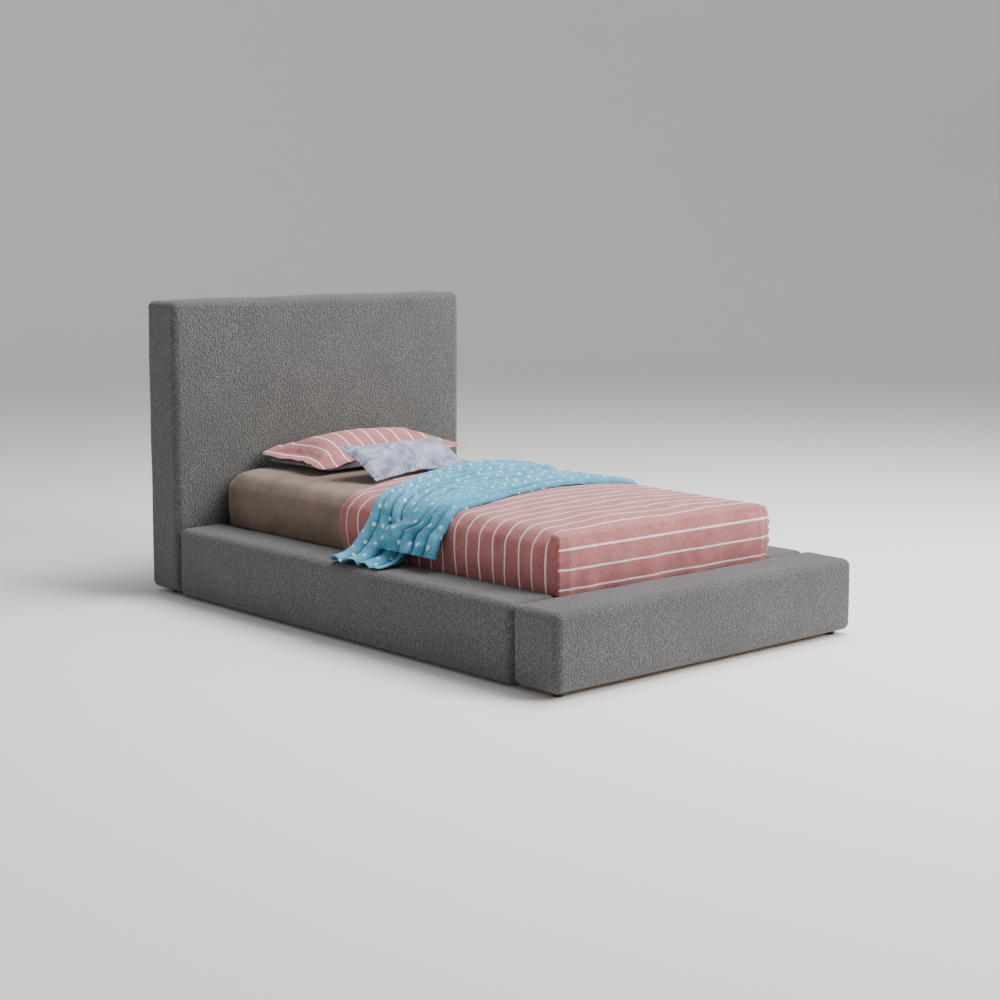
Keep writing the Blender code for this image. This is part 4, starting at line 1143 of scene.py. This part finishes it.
def crushed_velvet():
    """Polyester velvet pressed in patches: the pile leans different ways, and the sheen this gives is painted
    into the colour as grey and silver patches, with painted shade on the seam puckers.
    """
    material, tree, shader = new_material(
        "crushed_blue_grey_velvet", "A3A8BC", 0.62, IOR=1.5, Sheen_Weight=0.9, Sheen_Roughness=0.35
    )
    shader.inputs["Sheen Tint"].default_value = linear("E4E6F2")
    place = cloth_place(tree)
    stir = node(tree, "ShaderNodeTexNoise", {"Vector": place, "Scale": 22.0, "Detail": 2.0}).outputs["Color"]
    bend = node(tree, "ShaderNodeVectorMath", {0: stir, "Scale": 0.03}, operation="SCALE").outputs[0]
    moved = node(tree, "ShaderNodeVectorMath", {0: place, 1: bend}, operation="ADD").outputs[0]
    crushed_sheen_and_pucker_shade = lumps(tree, squeezed(tree, moved, (0.45, 1.0, 1.0)), 0.024, 4.0, 0.55)
    # Puckers run in from each seam: sine waves along it, which fade out with the distance from it. They bump
    # the surface and also darken and lighten its colour as painted shade.
    parts = node(tree, "ShaderNodeSeparateXYZ", {0: moved})
    for k in (0, 1):
        off_middle = math_node(tree, "ABSOLUTE", parts.outputs[1 - k])
        inward = math_node(tree, "SUBTRACT", VELVET_SIZE[1 - k] / 2, off_middle)
        fade = math_node(tree, "EXPONENT", math_node(tree, "DIVIDE", inward, -PUCKER_REACH))
        turn = math_node(tree, "MULTIPLY", parts.outputs[k], 2 * math.pi / PUCKER_SPACING)
        pucker = math_node(tree, "MULTIPLY", math_node(tree, "SINE", turn), fade)
        crushed_sheen_and_pucker_shade = math_node(tree, "ADD", crushed_sheen_and_pucker_shade, math_node(tree, "MULTIPLY", pucker, 0.3))
    # Painted sheen and shade: the crushed patches and the puckers are coloured from grey 666D85 to silver
    # A6ABC2.
    tree.links.new(two_tone(tree, crushed_sheen_and_pucker_shade, "666D85", "A6ABC2", 0.34, 0.66), shader.inputs["Base Color"])
    shine = {"Value": crushed_sheen_and_pucker_shade, "From Min": 0.3, "From Max": 0.7, "To Min": 0.75, "To Max": 0.42}
    gloss = node(tree, "ShaderNodeMapRange", shine)
    tree.links.new(gloss.outputs[0], shader.inputs["Roughness"])
    bump(tree, shader, crushed_sheen_and_pucker_shade, 2.4 * MM)
    return material


paint(velvet_cushion, crushed_velvet())


# %% Ticking
def ticking_cloth():
    """Mattress ticking: a stout off-white twill, with fine slanting ridges and slow dents."""
    material, tree, shader = new_material("cotton_ticking", "C9C6BE", 0.85, IOR=1.5, Sheen_Weight=0.1)
    place = node(tree, "ShaderNodeTexCoord").outputs["Object"]
    parts = node(tree, "ShaderNodeSeparateXYZ", {0: place})
    slope = math_node(tree, "ADD", parts.outputs[1], parts.outputs[2])
    slope = math_node(tree, "ADD", parts.outputs[0], slope)
    ridge = math_node(tree, "SINE", math_node(tree, "MULTIPLY", slope, 2 * math.pi / (2.2 * MM)))
    wear = lumps(tree, place, 0.09, 3.0, 0.55)
    tree.links.new(two_tone(tree, wear, "C4C0B8", "CECBC4"), shader.inputs["Base Color"])
    bump(tree, shader, math_node(tree, "ADD", math_node(tree, "MULTIPLY", ridge, 0.15), wear), 1.5 * MM)
    return material


ticking = ticking_cloth()
paint(mattress, ticking)

# %% [markdown]
# ## Trundle mattress
# A thin foam mattress has a tape edge round its top and bottom panels and is tufted in squares. The tapes
# are cords of cloth along the edge, so they are made as one closed tube round each panel.

# %% Trundle mattress
PAD_LOW, PAD_HIGH = (np.array(corner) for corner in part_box("trundle_mattress"))
TUFT = 150 * MM
TAPE_RADIUS = 4 * MM


def add_trundle_mattress():
    """A lattice box. Its top is lifted between tufts by the product of two cosines."""
    low, high = PAD_LOW + 2 * MM, PAD_HIGH - 2 * MM
    points, normal, sides, _ = box_lattice(low, high, 24 * MM, 14 * MM, 5)
    centre = (low + high) / 2
    place = (points - centre) / TUFT
    squares = np.abs(np.cos(np.pi * place[:, 0]) * np.cos(np.pi * place[:, 1])) ** 0.5
    top = ease(normal[:, 2], 0.7, 1.0)
    sag = top * (6 * MM * (squares - 1)) + 1.2 * MM * waves(points, 0.2, 81)
    points = points + normal * np.minimum(sag, 1.5 * MM)[:, None]
    piece = new_piece("trundle_mattress_cover", points, lattice_faces(sides))
    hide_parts("trundle_mattress")
    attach(piece, "trundle")
    return paint(piece, ticking)


def add_tape(name, height):
    """A tube carried along a rectangle with round corners, at the mattress's edge."""
    corner, inset = 0.034, 6 * MM
    centre, half = (PAD_LOW + PAD_HIGH) / 2, (PAD_HIGH - PAD_LOW) / 2 - inset
    arc = np.linspace(0, np.pi / 2, 9)
    parts = []
    for k, (sx, sy) in enumerate(((1, 1), (-1, 1), (-1, -1), (1, -1))):
        angle = arc + k * np.pi / 2
        middle = centre[:2] + np.array([sx, sy]) * (half[:2] - corner)
        parts.append(middle + corner * np.stack([np.cos(angle), np.sin(angle)], axis=1))
    corners = np.concatenate(parts)
    closed = np.concatenate([corners, corners[:1]])
    length = np.concatenate([[0], np.cumsum(np.linalg.norm(np.diff(closed, axis=0), axis=1))])
    at = np.linspace(0, length[-1], 400, endpoint=False)
    path = np.stack([np.interp(at, length, closed[:, k]) for k in (0, 1)], axis=1)
    ahead = np.roll(path, -1, axis=0) - np.roll(path, 1, axis=0)
    ahead /= np.linalg.norm(ahead, axis=1, keepdims=True)
    out = np.stack([ahead[:, 1], -ahead[:, 0]], axis=1)
    turn = np.linspace(0, 2 * np.pi, 11)[:-1]
    round_x = path[:, None, :] + out[:, None, :] * (TAPE_RADIUS * np.cos(turn))[None, :, None]
    round_z = height + TAPE_RADIUS * np.sin(turn) + 0 * at[:, None]
    points = np.concatenate([round_x, round_z[..., None]], axis=2)
    index = np.arange(points.shape[0] * points.shape[1]).reshape(points.shape[:2])
    index = np.concatenate([index, index[:1]], axis=0)
    index = np.concatenate([index, index[:, :1]], axis=1)
    piece = new_piece(name, points.reshape(-1, 3), grid_faces(index), recalculate=True)
    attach(piece, "trundle")
    return paint(piece, ticking)


add_trundle_mattress()
add_tape("trundle_mattress_top_tape", PAD_HIGH[2] - 14 * MM)
add_tape("trundle_mattress_bottom_tape", PAD_LOW[2] + 12 * MM)
print("trundle mattress", (PAD_HIGH - PAD_LOW).round(3))

# %% [markdown]
# ## Timber, steel and plastic
# The frames, slats and tray are sawn pine and plywood, the beam and brackets are steel, and the wheels
# are moulded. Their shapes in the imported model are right, so they keep them and only get a finish here. A
# board's grain runs along its longest side, so pine is made once for each direction.


# %% Timber
def pine(axis):
    """Planed pine: growth rings cut lengthwise, as long streaks with darker late wood."""
    material, tree, shader = new_material(f"planed_pine_along_{'xyz'[axis]}", "C79E6B", 0.55, IOR=1.5)
    place = node(tree, "ShaderNodeTexCoord").outputs["Object"]
    long = squeezed(tree, place, [0.05 if k == axis else 1.0 for k in range(3)])
    wander = node(tree, "ShaderNodeTexNoise", {"Vector": long, "Scale": 9.0, "Detail": 2.0}).outputs["Color"]
    bend = node(tree, "ShaderNodeVectorMath", {0: wander, "Scale": 0.04}, operation="SCALE").outputs[0]
    moved = node(tree, "ShaderNodeVectorMath", {0: long, 1: bend}, operation="ADD").outputs[0]
    rings = node(
        tree,
        "ShaderNodeTexWave",
        {"Vector": moved, "Scale": 1 / (14 * MM), "Distortion": 3.0, "Detail": 2.0, "Detail Scale": 1.5},
        bands_direction="DIAGONAL",
    ).outputs["Fac"]
    fibre = lumps(tree, long, 1.2 * MM, 2.0, 0.6)
    mixed = weighted(tree, (rings, 0.6), (fibre, 0.4))
    tree.links.new(two_tone(tree, mixed, "A87845", "D8B486", 0.2, 0.8), shader.inputs["Base Color"])
    bump(tree, shader, mixed, 0.4 * MM, 0.6)
    return material


def birch_plywood():
    """Rotary-cut birch: broad, faint figure along the sheet, and a smooth sanded face."""
    material, tree, shader = new_material("sanded_birch_plywood", "C9AC7C", 0.5, IOR=1.5)
    place = node(tree, "ShaderNodeTexCoord").outputs["Object"]
    long = squeezed(tree, place, (1.0, 0.08, 6.0))
    figure = lumps(tree, long, 0.035, 4.0, 0.55)
    tree.links.new(two_tone(tree, figure, "B8935E", "D9BF94", 0.3, 0.7), shader.inputs["Base Color"])
    bump(tree, shader, figure, 0.3 * MM, 0.5)
    return material


# %% Steel and plastic
def speckled(name, hex_code, shade_hex, roughness, grain, depth, **sockets):
    """A hard finish with a fine all-over grain, such as powder coat, zinc plate or moulded plastic."""
    material, tree, shader = new_material(name, hex_code, roughness, **sockets)
    place = node(tree, "ShaderNodeTexCoord").outputs["Object"]
    fine = lumps(tree, place, grain, 2.0, 0.6)
    broad = lumps(tree, place, 0.03, 2.0, 0.5)
    tree.links.new(two_tone(tree, broad, shade_hex, hex_code, 0.35, 0.65), shader.inputs["Base Color"])
    bump(tree, shader, fine, depth, 0.7)
    return material


PINES = [pine(axis) for axis in range(3)]
HARD_FINISHES = {
    "steel": ("black_powder_coated_steel", "2B2C2E", "242527", 0.45, 1.0 * MM, 0.10 * MM),
    "zinc": ("zinc_plated_steel", "B4B8BC", "9DA2A8", 0.36, 1.5 * MM, 0.04 * MM),
    "black_plastic": ("moulded_black_polypropylene", "1E1F20", "191A1B", 0.5, 0.8 * MM, 0.08 * MM),
    "nylon": ("moulded_nylon_wheel", "26272A", "202124", 0.38, 1.0 * MM, 0.05 * MM),
    "dust_cloth": ("black_non_woven_dust_cloth", "232324", "1A1A1B", 0.92, 1.4 * MM, 0.3 * MM),
}
SOCKETS = {
    "steel": {"IOR": 1.5},
    "zinc": {"Metallic": 1.0},
    "black_plastic": {"IOR": 1.49},
    "nylon": {"IOR": 1.53},
    "dust_cloth": {"IOR": 1.45},
}
HARD = {slot: speckled(*finish, **SOCKETS[slot]) for slot, finish in HARD_FINISHES.items()}
HARD["plywood"] = birch_plywood()
finished = 0
for subpart in frame["record"]["subparts"]:
    obj = frame["nodes"][subpart["node"]]
    low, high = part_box(subpart["node"])
    longest = int(np.argmax(np.array(high) - np.array(low)))
    found = PINES[longest] if subpart["material_slot"] == "pine" else HARD.get(subpart["material_slot"])
    if found and not obj.hide_render:
        for place in obj.material_slots:
            place.material = found
        finished += 1
print(finished, "hard parts finished")

# %% [markdown]
# ## Which piece moves with what
# The bedding stays on the bed when the trundle rolls out.

# %% Bodies and cloth
for piece in (mattress, sheet, quilt, throw):
    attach(piece, "bed")
